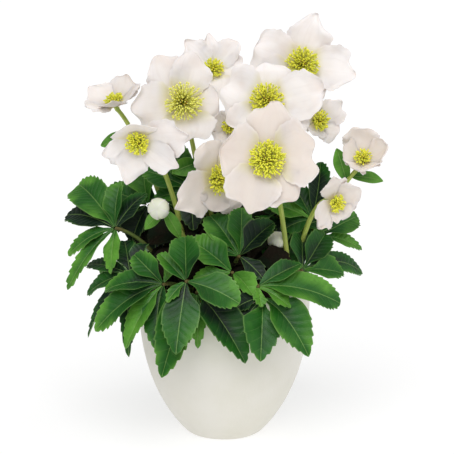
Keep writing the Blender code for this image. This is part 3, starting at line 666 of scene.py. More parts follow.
def add_blade(heap, spine, axes, shifts, thickness, looks, place, span):
    """A thin solid along a spine: the points of its grid are moved from the spine by shifts along the
    axes. looks are the material numbers of its top, its underside and its rim."""
    grid = spine[:, None]
    for axis, shift in zip(axes, shifts):
        grid = grid + axis[:, None] * shift[..., None]
    heap.add(*shell(grid, thickness), looks, shell_marks(*place), shell_marks(*span))


def add_leaflet(heap, hub, around, leaflet, shares, laps, settings, draw):
    """One leaflet as a thin solid.

    The rows follow the side veins, which slant forwards from an arched midrib, and the rows near a vein's
    end reach further, as a tooth. Across, the blade folds up or down towards its edges by their laps,
    sinks at the midrib and at each side vein, bulges between them, and waves towards its margins. Where
    both its edges lie over or under their neighbours, all of it rises or sinks by a layer, and on a
    covered side it stays calmer, so that it doesn't cut through the neighbour.
    """
    out = around[2]
    along = in_plane(around, leaflet.angle)
    length = leaflet.length * MM
    reach = leaflet.width * MM / 2 * settings.fullness
    teeth = max(FEWEST_TEETH, round(length / settings.tooth_spacing))
    phase = np.arange(ROWS_PER_TOOTH * teeth + 1) / ROWS_PER_TOOTH
    start = BLADE_START / length
    steps = np.concatenate([[0], np.cumsum(draw.uniform(*VEIN_STEPS, teeth))])
    t = start + (1 - start) * np.interp(phase, np.arange(teeth + 1), steps / steps[-1])
    row = t[:, None]
    distance = length * t
    arch = LEAF_ARCH * distance * (1 - distance / LEAF_ARCH_REACH)
    sag = leaflet.droop * distance * t + draw.uniform(0, settings.curl) * length * t ** 3
    bend = draw.uniform(-settings.curl, settings.curl) * length * t ** 2
    layer = LEAF_LAYER * np.sign(laps).mean() * smooth(*LAYERED, t)
    midrib = hub + np.outer(distance, along) + np.outer(arch, out) - np.outer(sag, UP)
    midrib = midrib + np.outer(bend, np.cross(out, along)) + np.outer(layer, out)
    side, rise, ahead = running_axes(midrib, out)
    twist = draw.uniform(-settings.twist, settings.twist) * row ** 2
    side, rise = side * np.cos(twist) + rise * np.sin(twist), rise * np.cos(twist) - side * np.sin(twist)

    slant = settings.vein_slant
    widest, taper = draw.uniform(*LEAF_WIDEST), draw.uniform(*LEAF_TAPER)
    half = slanted_halves(t, length, reach, slant, widest, taper)
    saw = np.interp(phase % 1, TOOTH_PHASES, TOOTH_REACH)
    saw = saw * smooth(*TEETH_FROM, t) * (1 - smooth(*TEETH_TO, t))
    depths = settings.tooth * draw.uniform(*TOOTH_DEPTHS, (2, teeth + 1))[:, phase.astype(int)]
    u = np.linspace(-1, 1, LEAF_COLUMNS)
    v = np.sign(u) * np.abs(u) ** 1.2
    size = np.abs(v)
    widths = by_side(v, [sector_limits(half, distance, share) for share in shares])
    toothed = by_side(v, (saw * depths)[..., None])
    offset = widths * v + np.sign(v) * size ** 5 * toothed

    lap = by_side(v, laps)
    calm = np.where(lap < 0, COVERED_CALM, 1)
    keel = draw.uniform(LEAST_KEEL, settings.keel)
    lift = widths * (lap * size ** 1.5 + keel * calm * size)
    lift = lift - settings.groove * np.exp(-(offset / GROOVE_WIDTH) ** 2) * (1 - 0.5 * row)
    bulge = np.cos(2 * math.pi * (phase[:, None] - TOOTH_TIP)) * np.sin(math.pi * size)
    lift = lift - settings.quilt * bulge * smooth(*QUILTED, row)
    turns = by_side(v, (draw.uniform(*ANY_PHASE), draw.uniform(*ANY_PHASE)))
    wave = np.sin(2 * math.pi * draw.uniform(*LEAF_WAVES) * row + turns) * size ** 2.5
    height = settings.wave * draw.uniform(*WAVE_HEIGHTS)
    lift = lift + height * wave * calm * (half / reach)[:, None]
    forward = slant * np.abs(offset) * (1 - VEIN_CURVE * size)
    tone = leaflet.tone + draw.uniform(*TONE_SPREAD)
    add_blade(
        heap, midrib, (side, rise, ahead), (offset, lift, forward), settings.thickness * (1 - 0.5 * size),
        (0, 1, 0), (v, phase[:, None] - VEIN_SHIFT, row),
        (np.abs(offset) / MM, length / teeth / MM, tone),
    )


def droop_rank(leaflet):
    """The leaflets of a leaf that droop least lie on top."""
    return leaflet.droop / leaflet.length, leaflet.angle


def add_leaf(heap, leaf, scene, draw, rank=droop_rank):
    """A whole leaf: its leaflets in turning order, and its petiole."""
    settings = scene.rose_leaf
    hub = np.array(leaf.hub) * MM
    around = facing_frame(leaf.facing)
    leaflets = sorted(Leaflet(*row) for row in leaf.leaflets)
    ranks = [rank(leaflet) for leaflet in leaflets]
    for leaflet, shares, laps in zip(leaflets, *neighbour_laps(leaflets, ranks)):
        add_leaflet(heap, hub, around, leaflet, shares, laps, settings, draw)
    add_tube(heap, petiole_line(leaf.root, hub), settings.petiole_radius, PETIOLE_FLARE, 2)


def add_small_leaf(heap, place, scene, draw):
    """A small leaf between the others: like leaflets all round its hub, each over the next."""
    x, y, z, azimuth = place
    turns = np.arange(SMALL_LEAFLETS) * SMALL_TURN + draw.uniform(0, SMALL_TURN)
    leaflets = [
        Leaflet(
            turn, draw.uniform(*SMALL_LENGTHS), draw.uniform(*SMALL_WIDTHS), SMALL_DROOP,
            draw.uniform(*SMALL_TONES),
        )
        for turn in turns
    ]
    leaf = Leaf((x * SMALL_ROOT, y * SMALL_ROOT), (x, y, z), (azimuth, SMALL_ELEVATION), leaflets)
    add_leaf(heap, leaf, scene, draw, rank=lambda leaflet: leaflet.angle)


def circle(sides):
    """Directions square to Z, evenly round it."""
    turn = np.arange(sides) / sides * 2 * math.pi
    return np.stack([np.cos(turn), np.sin(turn), 0 * turn], -1)


def add_tube(heap, line, radius, flare, look_number):
    """A round stem along a line, thinner towards its end, where it flares by a share of its radius."""
    share = np.linspace(0, 1, len(line))
    radii = radius * (1 - (1 - TIP_SHARE) * share + flare * smooth(*FLARED, share))
    steps = np.linalg.norm(np.diff(line, axis=0), axis=1)
    run = np.concatenate([[0], np.cumsum(steps)]) / MM
    place = tube_marks(np.stack([share, run, 0 * run], -1)[None], STEM_SIDES)
    span = np.concatenate([np.tile(circle(STEM_SIDES), (len(line), 1)), np.zeros((2, 3))])
    heap.add(*tubes(line[None], radii, STEM_SIDES), look_number, place, span)


def sepal_outline(t, point):
    """Half width of a sepal at t of its length, as a share: an arch up to its widest place, then an end
    that is blunt where point is 0 and has a corner where it is 1."""
    arch = np.sin(np.clip(t / SEPAL_WIDEST, 0, 1) * math.pi / 2) ** 0.75
    past = np.clip((t - SEPAL_WIDEST) / (1 - SEPAL_WIDEST), 0, 1)
    end = (1 - past ** (3 - 1.7 * point)) ** (1 / (2.4 - 1.4 * point))
    return (SEPAL_FOOT + (1 - SEPAL_FOOT) * arch) * end


def add_sepal(heap, bloom, sepal, shares, laps, rank, settings, draw):
    """One sepal as a thin solid.

    Its spine leaves the flower's axis at the cup's first angle and ends at its second plus the sepal's
    own opening, summed in short steps, and curves sideways by its lean. The margins swell and ripple.
    Across, the sepal rises or sinks towards its edges by their laps; broad waves and a frill, drawn at
    random, lift it, more towards the margin; a groove runs along its spine, faint ribs fan out from its
    foot, and its tip bends back. Waves of the distance from the spine move its outer end forwards and
    back, as shallow lobes, and a bell curve of the same distance draws its tip out.
    """
    around = facing_frame(bloom.facing)
    out = around[2]
    outward = in_plane(around, sepal.angle)
    length = sepal.length * MM - SEPAL_START
    reach = sepal.width * MM / 2
    t = 1 - (1 - np.linspace(0, 1, SEPAL_ROWS)) ** 1.7
    row = t[:, None]
    middle = (t[1:] + t[:-1]) / 2
    polar = np.radians(bloom.cup[0] + (bloom.cup[1] + sepal.opening - bloom.cup[0]) * middle)
    steps = np.outer(np.sin(polar), outward) + np.outer(np.cos(polar), out)
    spine = np.concatenate([np.zeros((1, 3)), np.cumsum(steps * np.diff(t)[:, None] * length, axis=0)])
    spine = spine + np.array(bloom.centre) * MM + outward * SEPAL_START + out * (2 - rank) * SEPAL_LAYER
    spine = spine + np.outer(sepal.lean * reach * t ** 2, in_plane(around, sepal.angle + 90))

    half = np.maximum(reach * settings.fullness * sepal_outline(t, sepal.point), SEPAL_THINNEST)
    uneven = [
        1 + SWELL * drawn_wave(draw, SWELL_TURNS, t)
        + sum(settings.ripple * drawn_wave(draw, turns, t) for turns in RIPPLE_TURNS)
        for _ in shares
    ]
    distance = SEPAL_START + length * t
    v = np.linspace(-1, 1, SEPAL_COLUMNS)
    size = np.abs(v)
    free = half * smooth(*FOOT_FREE, t)
    widths = by_side(v, [
        (np.minimum(half, distance * math.tan(math.radians(share + FOOT_EXTRA)) + free) * edge)[:, None]
        for share, edge in zip(shares, uneven)
    ])
    lift = widths * (by_side(v, laps) * SEPAL_LAP) * size ** 1.6

    scale = settings.wave * min(1.0, sepal.length / FULLY_WAVY)
    waves = sum(
        np.sin(2 * math.pi * (
            draw.uniform(*BROAD_TURNS) * row + draw.uniform(*BROAD_SLANTS) * v + draw.uniform()
        ))
        for _ in range(BROAD_WAVES)
    )
    lift = lift + scale * waves * 0.5 * smooth(0.2, 0.8, row) * (0.35 + 0.65 * size ** 2)
    frill = np.sin(2 * math.pi * draw.uniform(*FRILL_TURNS) * (row + 0.25 * v) + draw.uniform(*ANY_PHASE))
    lift = lift + scale * FRILL * frill * size ** 4 * smooth(0.3, 0.6, row)
    lift = lift - SPINE_GROOVE * np.exp(-(v / SPINE_WIDTH) ** 2) * (1 - row)
    lift = lift + RIB_HEIGHT * np.cos(RIB_TURN * v) * (1 - row)
    bends = smooth(*TIP_BENDS, row)
    lift = lift - settings.recurve * reach * bends * (0.5 + draw.uniform(0, 1))
    across = widths * v
    lobes = sum(drawn_wave(draw, LOBE_TURNS, across / reach) for _ in range(2))
    forward = settings.lobes * length * lobes * smooth(0.35, 1.0, row)
    forward = forward + sepal.tip * length * np.exp(-(across / (TIP_WIDTH * reach)) ** 2) * bends
    add_blade(
        heap, spine, running_axes(spine, out), (across, lift, forward),
        settings.thickness * (1 - 0.6 * size ** 3), (0, 1, 0), (v, row, draw.uniform()),
        (distance[:, None] / MM / bloom.boss, 0 * v, bloom.age),
    )


def add_sepals(heap, bloom, scene, draw):
    """All the sepals of a flower, in turning order."""
    sepals = sorted(Sepal(*row) for row in bloom.sepals)
    for sepal, rank, shares, laps in zip(sepals, SEPAL_ORDER, *neighbour_laps(sepals, SEPAL_ORDER)):
        add_sepal(heap, bloom, sepal, shares, laps, rank, scene.rose_flower, draw)


def add_boss(heap, bloom, scene, draw):
    """The yellow middle: stamens by the golden angle, a ring of nectaries and a few pistils.

    A stamen is one tube: a thin filament that bends outwards from the flower's axis, and an anther, where
    the radius swells. The tips lie on a dome over the sepals.
    """
    settings = scene.rose_flower
    around = facing_frame(bloom.facing)
    out = around[2]
    foot = np.array(bloom.centre) * MM + out * BOSS_FOOT
    reach = bloom.boss * MM * settings.boss
    edge = reach / math.tan(math.radians(bloom.cup[0] - BOSS_INSIDE))
    crown = max(settings.dome * reach, edge)
    number = np.arange(bloom.stamens)
    share = (number + 0.5) / bloom.stamens * draw.uniform(*STAMEN_PLACES, bloom.stamens)
    outward = spread_round(around, number * GOLDEN_TURN + draw.normal(0, STAMEN_TURNS, bloom.stamens))
    height = (edge * share + crown * (1 - share)) * draw.uniform(*STAMEN_HEIGHTS, bloom.stamens)
    spread = np.sqrt(share) * draw.uniform(*STAMEN_SPREADS, bloom.stamens)
    tips = foot + outward * (reach * spread)[:, None] + np.outer(height, out)
    roots = foot + outward * (reach * (0.12 + 0.12 * share))[:, None]
    bends = roots + outward * (reach * 0.2 * spread)[:, None] + np.outer(height * 0.75, out)
    s = np.array(FILAMENT_SHARES)[:, None]
    bent = roots[:, None] * (1 - s) ** 2 + bends[:, None] * 2 * s * (1 - s) + tips[:, None] * s ** 2
    ahead = unit(bent[:, -1] - bent[:, -2])
    anther = bent[:, 3:4] + ahead[:, None] * np.array(ANTHER_STEPS)[:, None] * settings.anther_size
    paths = np.concatenate([bent[:, :3], anther], axis=1)
    bulk = draw.uniform(*STAMEN_BULKS, bloom.stamens)
    radii = np.outer(bulk, np.array(STAMEN_RADII) * settings.anther_size)
    hue = draw.uniform(0, 1, (bloom.stamens, 1))
    place = np.stack(np.broadcast_arrays(np.array(STAMEN_RIPE) * bloom.ripeness, 0, hue), -1)
    heap.add(*tubes(paths, radii, STAMEN_SIDES), 0, tube_marks(place, STAMEN_SIDES))

    count = max(FEWEST_NECTARIES, round(bloom.boss * NECTARY_SHARE))
    outward = spread_round(around, np.arange(count) * 2 * math.pi / count + draw.normal(0, 0.05, count))
    s = np.linspace(0, 1, len(NECTARY_RADII))[:, None]
    size = 0.2 * reach + 1.2 * MM
    paths = foot + outward[:, None] * (NECTARY_FOOT * reach + s * size) + out * s * size * 0.7
    heap.add(*tubes(paths, np.array(NECTARY_RADII) * MM * min(1, bloom.boss / 12), NECTARY_SIDES), 1)

    outward = spread_round(around, np.arange(PISTILS) * GOLDEN_TURN)
    s = np.linspace(0, 1, len(PISTIL_RADII))[:, None]
    tall = crown * 1.04
    paths = foot + outward[:, None] * reach * (0.05 + 0.1 * s ** 2) + out * s * tall
    radii = np.array(PISTIL_RADII) * MM * min(1, bloom.boss / 13)
    place = np.stack(np.broadcast_arrays(s[:, 0], 0, np.zeros((PISTILS, 1))), -1)
    heap.add(*tubes(paths, radii, PISTIL_SIDES), 2, tube_marks(place, PISTIL_SIDES))


def add_bract(heap, base, bract, thickness, draw):
    """A small entire leaf on a flower stem: a folded blade, whose edges rise on both sides."""
    right, up, along = facing_frame((bract.azimuth, bract.elevation))
    out = in_plane((up, -right, along), bract.roll)
    length = bract.length * MM
    t = np.linspace(0, 1, BRACT_ROWS)
    row = t[:, None]
    midrib = base + np.outer(length * t, along) - np.outer(BRACT_SAG * length * t * t, UP)
    midrib = midrib + np.outer(BRACT_ARCH * length * t * (1 - t), out)
    half = bract.width * MM / 2 * np.maximum(sepal_outline(row, BRACT_POINT) * (1 - 0.2 * row), 0.03)
    v = np.linspace(-1, 1, BRACT_COLUMNS)
    size = np.abs(v)
    lift = half * BRACT_FOLD * size ** 1.3 - BRACT_GROOVE * np.exp(-(v / 0.12) ** 2)
    wave = np.sin(2 * math.pi * draw.uniform(*BRACT_TURNS) * row + draw.uniform(*ANY_PHASE) + v)
    lift = lift + BRACT_WAVE * wave * size ** 2
    add_blade(
        heap, midrib, running_axes(midrib, out), (half * v, lift), thickness, (1, 2, 1),
        (v, BRACT_VEINS * row, row), (half * size / MM, length / BRACT_VEINS / MM, BRACT_TONE),
    )


def add_stem(heap, plant, scene, draw):
    """A stem that ends just behind its flower or bud, and its bracts."""
    behind, bend = FLOWER_BEHIND, FLOWER_BEND
    if isinstance(plant, Bud):
        behind, bend = plant.size[1] / 2 * MM + BUD_BEHIND, BUD_BEND
    out = facing_frame(plant.facing)[2]
    line = stem_line(plant.root, np.array(plant.centre) * MM - out * behind, out, bend)
    add_tube(heap, line, scene.rose_stem.radius, STEM_FLARE, 0)
    for bract in (Bract(*row) for row in plant.bracts):
        add_bract(heap, point_on(line, bract.share), bract, scene.rose_leaf.thickness, draw)


def add_wrapped_sepals(heap, bud, scene, draw):
    """A bud: thin shells that follow an egg, each with one edge outside and the other inside its
    neighbours' edges."""
    around = facing_frame(bud.facing)
    radius, length = (size * MM for size in bud.size)
    share = np.linspace(*BUD_ENDS, BUD_ROWS)[:, None]
    polar = share * math.pi
    v = np.linspace(-1, 1, BUD_COLUMNS)
    for k in range(BUD_SEPALS):
        middle = 2 * math.pi * (k / BUD_SEPALS + draw.uniform(*BUD_UNEVEN))
        turn = middle + v * math.radians(BUD_HALF_WIDTH) + BUD_TWIST * (share - 0.5)
        spokes = spread_round(around, turn)
        swell = (radius - BUD_INSIDE) * (1 + 0.06 * v + 0.03 * np.cos(3 * polar + k))
        across = swell * np.sin(polar) ** 0.9
        height = -(length / 2 - BUD_SHORTER) * np.cos(polar) * (1 + 0.02 * v)
        grid = np.array(bud.centre) * MM + spokes * across[..., None] + around[2] * height[..., None]
        heap.add(*shell(grid, scene.rose_flower.thickness), 0, shell_marks(v, share, draw.uniform()))


def pot_radius(z, settings):
    """The pot's outer radius at a height: a heel that rounds out of the foot, then a long belly."""
    share = 1 - (1 - z / POT_BOX[1].z) ** POT_BELLY
    return settings.foot_radius + (settings.rim_radius - settings.foot_radius) * share ** POT_HEEL


def lathe(radii, heights, sides):
    """A solid of revolution about Z from a profile that starts and ends on the axis: points and faces."""
    rings = circle(sides) * radii[1:-1, None, None] + UP * heights[1:-1, None, None]
    ends = np.stack([[0, 0, heights[0]], [0, 0, heights[-1]]])
    return np.concatenate([rings.reshape(-1, 3), ends]), ring_faces(1, len(radii) - 2, sides)


def rumple(x, y, draw, shortest, longest):
    """Lumps: a sum of plane waves of random direction, length and phase, from -1 to 1 or so."""
    total = 0
    for _ in range(LUMP_WAVES):
        turn, phase = draw.uniform(0, 2 * math.pi, 2)
        step = draw.uniform(shortest, longest)
        total = total + np.sin((x * math.cos(turn) + y * math.sin(turn)) * 2 * math.pi / step + phase)
    return total / math.sqrt(LUMP_WAVES)


def fill(tree, made, inputs):
    """Gives inputs of a node, in their order or by name or number, a value or an output to link."""
    for key, value in inputs.items() if isinstance(inputs, dict) else enumerate(inputs):
        if isinstance(value, bpy.types.NodeSocket):
            tree.links.new(value, made.inputs[key])
        else:
            made.inputs[key].default_value = value


def node(tree, kind, inputs, **settings):
    """Adds a node with its settings and inputs, and gives back its first output in use."""
    made = tree.nodes.new(kind)
    for key, value in settings.items():
        setattr(made, key, value)
    fill(tree, made, inputs)
    return next(output for output in made.outputs if output.enabled)


def marks(tree, name):
    """The three numbers of a mark."""
    read = tree.nodes.new("ShaderNodeAttribute")
    read.attribute_name = name
    return node(tree, "ShaderNodeSeparateXYZ", (read.outputs["Vector"],)).node.outputs


def patches(tree, size, low, high, start=0.0, end=1.0, detail=2.0, vector=None):
    """Soft patches of about that size in metres: start where the noise is low, end where it is high."""
    if vector is None:
        vector = tree.nodes.new("ShaderNodeTexCoord").outputs["Object"]
    noise = node(tree, "ShaderNodeTexNoise", {
        "Vector": vector, "Scale": 1 / size, "Detail": detail, "Roughness": 0.6,
    })
    return node(tree, "ShaderNodeMapRange", (noise, low, high, start, end), **SMOOTHLY)


def painted(tree, base, *coats):
    """A base colour under coats of paint: each is (how much of it shows, its colour)."""
    if not isinstance(base, bpy.types.NodeSocket):
        base = (*base, 1)
    for shows, paint in coats:
        if not isinstance(paint, bpy.types.NodeSocket):
            paint = (*paint, 1)
        base = node(tree, "ShaderNodeMix", {0: shows, 6: base, 7: paint}, data_type="RGBA")
    return base


def finish(tree, shader, colour, roughness, ior=1.5, gloss=0.5, relief=None, softness=None):
    """Completes a material. relief is what raises its surface and by how much; softness is how much light
    enters it, how far each colour goes, and how deep."""
    inputs = {"Base Color": colour, "Roughness": roughness, "IOR": ior, "Specular IOR Level": gloss}
    if relief:
        inputs["Normal"] = node(tree, "ShaderNodeBump", dict(zip(("Height", "Distance"), relief)))
    if softness:
        inputs.update(zip(("Subsurface Weight", "Subsurface Radius", "Subsurface Scale"), softness))
    fill(tree, shader, inputs)


def look(maker, settings):
    """The material that a maker gives, made once and named as the maker is."""
    found = bpy.data.materials.get(maker.__name__)
    if found:
        return found
    made = bpy.data.materials.new(maker.__name__)
    made.use_nodes = True
    maker(made.node_tree, made.node_tree.nodes["Principled BSDF"], settings)
    return made


def leaf_veins(tree):
    """How much a point lies on the midrib and on a side vein, and its share of the way to the margin."""
    across, phase, _ = marks(tree, "place")
    away, spacing, _ = marks(tree, "span")
    midrib = node(tree, "ShaderNodeMapRange", (away, 0.15, 0.6, 1.0, 0.0), **SMOOTHLY)
    turn = node(tree, "ShaderNodeMath", (phase,), operation="FRACT")
    off = node(tree, "ShaderNodeMath", (turn, 0.5), operation="SUBTRACT")
    off = node(tree, "ShaderNodeMath", (off,), operation="ABSOLUTE")
    off = node(tree, "ShaderNodeMath", (off, spacing), operation="MULTIPLY")
    size = node(tree, "ShaderNodeMath", (across,), operation="ABSOLUTE")
    side = node(tree, "ShaderNodeMapRange", (off, 0.1, 0.5, 1.0, 0.0), **SMOOTHLY)
    fade = node(tree, "ShaderNodeMapRange", (size, 0.5, 1.0, 1.0, 0.35), **SMOOTHLY)
    return midrib, node(tree, "ShaderNodeMath", (side, fade), operation="MULTIPLY"), size


def evergreen_leaf_face(tree, shader, settings):
    """Thick evergreen leaf, waxy by nature: a satin face that takes broad soft highlights, dark between
    its paler sunken veins. Its tone goes from 0 for a young leaflet to 1 for an old one; leaflets inside
    the plant get high tones too, as painted shade."""
    midrib, side, size = leaf_veins(tree)
    along = marks(tree, "place")[2]
    tone = marks(tree, "span")[2]
    # the pale margin is a painted highlight along the toothed edges
    margin = node(tree, "ShaderNodeMapRange", (size, 0.9, 1.0), **SMOOTHLY)
    outwards = node(tree, "ShaderNodeMapRange", (size, 0.1, 1.0, 0.12, -0.18))
    tipwards = node(tree, "ShaderNodeMapRange", (along, 0.0, 1.0, 0.15, -0.15))
    for shift in (patches(tree, 40 * MM, 0.3, 0.7, -0.25, 0.25), outwards, tipwards):
        tone = node(tree, "ShaderNodeMath", (tone, shift), operation="ADD")
    # the tone is age, and for leaflets inside the plant it is partly painted shade
    older_and_shaded = node(tree, "ShaderNodeMapRange", (tone, -0.1, 0.45), **SMOOTHLY)
    oldest_and_shaded = node(tree, "ShaderNodeMapRange", (tone, 0.4, 0.95), **SMOOTHLY)
    pale = [
        (node(tree, "ShaderNodeMath", (mark, strength), operation="MULTIPLY"), settings.vein)
        for mark, strength in ((side, 0.07), (midrib, 0.5), (margin, 0.35))
    ]
    base = painted(
        tree, settings.fresh, (patches(tree, 15 * MM, 0.35, 0.7, 0.0, 0.45, 3.0), settings.green),
        (older_and_shaded, settings.green), (oldest_and_shaded, settings.deep),
        (patches(tree, 6 * MM, 0.5, 0.8, 0.0, 0.25, 3.0), settings.deep), *pale,
    )
    # the net of the finest veins has meshes of 0.5 mm or so, too fine to show, so they are 1.6 mm here
    net = patches(tree, 1.6 * MM, 0.3, 0.7, 0.0, 0.5, 3.0)
    raised = node(tree, "ShaderNodeMath", (net, side), operation="SUBTRACT")
    roughness = patches(tree, 5 * MM, 0.3, 0.7, 0.34, 0.5)
    finish(tree, shader, base, roughness, ior=1.45, gloss=0.3, relief=(raised, 0.16 * MM))


def evergreen_leaf_underside(tree, shader, settings):
    """The underside of the same leaf: pale and matt, with veins that stand proud."""
    midrib, side, _ = leaf_veins(tree)
    veins = node(tree, "ShaderNodeMath", (midrib, side), operation="MAXIMUM")
    faint = node(tree, "ShaderNodeMath", (veins, 0.5), operation="MULTIPLY")
    base = painted(
        tree, settings.under, (patches(tree, 10 * MM, 0.35, 0.65), settings.under_dark),
        (faint, settings.vein),
    )
    finish(tree, shader, base, 0.6, ior=1.45, relief=(veins, 0.4 * MM))


def painted_shade_leaf(tree, shader, settings):
    """A leaf deep inside the plant, painted near black as shade: the same wax, dulled, with withered
    brown clouds that are darkened as painted shade.
    """
    clouds, grain = patches(tree, 20 * MM, 0.4, 0.6), patches(tree, 2 * MM, 0.3, 0.7)
    base = painted(tree, settings.shaded, (clouds, settings.withered_and_shade))
    finish(tree, shader, base, 0.7, ior=1.45, gloss=0.15, relief=(grain, 0.2 * MM))


def stem_pattern(tree):
    """How far up a stem a point lies, as a share, and how much it lies on one of the streaks along it."""
    share, run, _ = marks(tree, "place")
    turned, across, _ = marks(tree, "span")
    wound = node(tree, "ShaderNodeCombineXYZ", (turned, across, run))
    wound = node(tree, "ShaderNodeVectorMath", (wound, (3.0, 3.0, 0.06)), operation="MULTIPLY")
    return share, patches(tree, 1.0, 0.35, 0.65, detail=3.0, vector=wound)


def flushed_petiole(tree, shader, settings):
    """Petiole: duller than a flower stem, flushed red-brown at its foot and just under its leaflets."""
    share, streak = stem_pattern(tree)
    foot = node(tree, "ShaderNodeMapRange", (share, 0.1, 0.7, 0.8, 0.1), **SMOOTHLY)
    top = node(tree, "ShaderNodeMapRange", (share, 0.8, 0.97, 0.0, 0.4), **SMOOTHLY)
    base = painted(
        tree, settings.petiole, (streak, settings.petiole_dark), (foot, settings.flush),
        (top, settings.flush),
    )
    finish(tree, shader, base, 0.5, ior=1.42, relief=(streak, 0.2 * MM))


def juicy_stem(tree, shader, settings):
    """Juicy green stem, smooth and a little waxy, with streaks along it and a red flush where old."""
    share, streak = stem_pattern(tree)
    low = node(tree, "ShaderNodeMapRange", (share, 0.1, 0.6, 0.4, 0.0), **SMOOTHLY)
    flush = node(tree, "ShaderNodeMath", (low, streak), operation="MULTIPLY")
    base = painted(tree, settings.green, (streak, settings.pale), (flush, settings.flush))
    softness = (0.15, (0.8, 1.0, 0.3), 1.5 * MM)
    finish(tree, shader, base, 0.42, ior=1.42, relief=(streak, 0.2 * MM), softness=softness)


def silky_sepal(tree, shader, settings, warmth):
    """What both faces of a sepal share; warmth is how much of the warm shade shows."""
    across, along, hue = marks(tree, "place")
    distance, _, age = marks(tree, "span")
    fan = node(tree, "ShaderNodeCombineXYZ", (across, along, hue))
    fan = node(tree, "ShaderNodeVectorMath", (fan, (7.0, 1.2, 9.0)), operation="MULTIPLY")
    veins = patches(tree, 1.0, 0.45, 0.8, 0.0, 0.16, 4.0, fan)
    size = node(tree, "ShaderNodeMath", (across,), operation="ABSOLUTE")
    foot = node(tree, "ShaderNodeMapRange", (distance, 0.6, 1.35, 0.55, 0.0), **SMOOTHLY)
    margin = node(tree, "ShaderNodeMapRange", (size, 0.85, 1.0, 0.0, 0.4), **SMOOTHLY)
    base = painted(
        tree, settings.white, (age, settings.aged),
        (patches(tree, 22 * MM, 0.4, 0.75, 0.0, warmth), settings.blush),
        (veins, settings.vein), (foot, settings.flush), (margin, settings.white),
    )
    softness = (0.4, (1.0, 0.85, 0.7), 2.5 * MM)
    finish(tree, shader, base, 0.55, ior=1.4, relief=(veins, 0.2 * MM), softness=softness)


def silky_sepal_face(tree, shader, settings):
    """Thin waxy white sepal: soft, a little translucent, yellow-green at its foot, with faint veins."""
    silky_sepal(tree, shader, settings, 0.45)


def silky_sepal_back(tree, shader, settings):
    """The back of the same sepal, a little warmer, as age and cold turn it."""
    silky_sepal(tree, shader, settings, 0.8)


def greenish_bud(tree, shader, settings):
    """The skin of a closed bud: the same soft wax, still tinged with green, most of all at its foot."""
    across, along, _ = marks(tree, "place")
    size = node(tree, "ShaderNodeMath", (across,), operation="ABSOLUTE")
    foot = node(tree, "ShaderNodeMapRange", (along, 0.1, 0.7, 0.4, 0.0), **SMOOTHLY)
    margin = node(tree, "ShaderNodeMapRange", (size, 0.7, 1.0, 0.0, 0.5), **SMOOTHLY)
    base = painted(tree, settings.bud, (foot, settings.nectary), (margin, settings.white))
    finish(tree, shader, base, 0.5, ior=1.4, softness=(0.4, (1.0, 0.9, 0.6), 2.5 * MM))


def pollen_stamen(tree, shader, settings):
    """Stamens: pale waxy filaments, and anthers dusted with pollen, so quite matt."""
    ripe, _, hue = marks(tree, "place")
    anther = painted(tree, settings.anther, (hue, settings.anther_old))
    base = painted(tree, settings.filament, (ripe, anther))
    finish(tree, shader, base, 0.6, softness=(0.25, (1.0, 0.9, 0.3), 1 * MM))


def wet_nectary(tree, shader, settings):
    """Nectaries: small wet green funnels, glossier than the rest of the flower."""
    grain = patches(tree, 1.5 * MM, 0.3, 0.7)
    finish(tree, shader, painted(tree, settings.nectary, (grain, settings.anther_old)), 0.3)


def waxy_pistil(tree, shader, settings):
    """Pistils: green low down, rust at their tips."""
    ripe = node(tree, "ShaderNodeMapRange", (marks(tree, "place")[0], 0.3, 0.9), **SMOOTHLY)
    finish(tree, shader, painted(tree, settings.nectary, (ripe, settings.pistil)), 0.45)


def matt_white_ceramic(tree, shader, settings):
    """Slip-cast ceramic under a matt white glaze: a soft broad sheen, and only the finest unevenness. Its
    specks are 0.2 mm or so, too fine to show, and 1.2 mm here."""
    base = painted(
        tree, settings.glaze, (patches(tree, 60 * MM, 0.35, 0.7, detail=3.0), settings.glaze_warm),
        (patches(tree, 1.2 * MM, 0.68, 0.76, 0.0, 0.12), settings.speck),
    )
    uneven = patches(tree, 2.5 * MM, 0.2, 0.8, detail=4.0)
    roughness = patches(tree, 9 * MM, 0.3, 0.7, 0.48, 0.58)
    finish(tree, shader, base, roughness, relief=(uneven, 0.05 * MM))


def moist_peat(tree, shader, settings):
    """Moist peat: dark crumbs and paler fibres, quite matt."""
    crumb = patches(tree, 3 * MM, 0.35, 0.7, detail=5.0)
    base = painted(tree, settings.dark, (crumb, settings.light))
    finish(tree, shader, base, 0.9, relief=(crumb, 1.5 * MM))


def flaky_bark(tree, shader, settings):
    """Bits of bark: warmer and paler than the peat, and rough."""
    grain = patches(tree, 2 * MM, 0.3, 0.7, detail=4.0)
    base = painted(tree, settings.light, (grain, settings.bark))
    finish(tree, shader, base, 0.85, relief=(grain, 0.5 * MM))


def opal_light_table(tree, shader, settings):
    """Opal acrylic lit from below, as a light table is: matt and white, with the faintest grain."""
    grain = patches(tree, 2 * MM, 0.3, 0.7)
    finish(tree, shader, painted(tree, settings.floor, (grain, settings.floor_grain)), 0.9)
    fill(tree, shader, {"Emission Color": (1, 1, 1, 1), "Emission Strength": settings.floor_glow})


def metres(name, description, default):
    """A length that a user can change."""
    return FloatProperty(
        name=name, description=description, default=default, min=0, unit="LENGTH", precision=5
    )


def ratio(name, description, default):
    """A share or a strength that a user can change."""
    return FloatProperty(name=name, description=description, default=default, min=0, precision=3)


def degrees(name, description, default):
    """An angle that a user can change."""
    return FloatProperty(
        name=name, description=description, default=math.radians(default), subtype="ANGLE"
    )


def tint(name, what, default):
    """A colour that a user can change, from its hex value."""
    return FloatVectorProperty(
        name=name, description="Colour of " + what, default=linear(default), size=3, min=0, max=1,
        subtype="COLOR",
    )


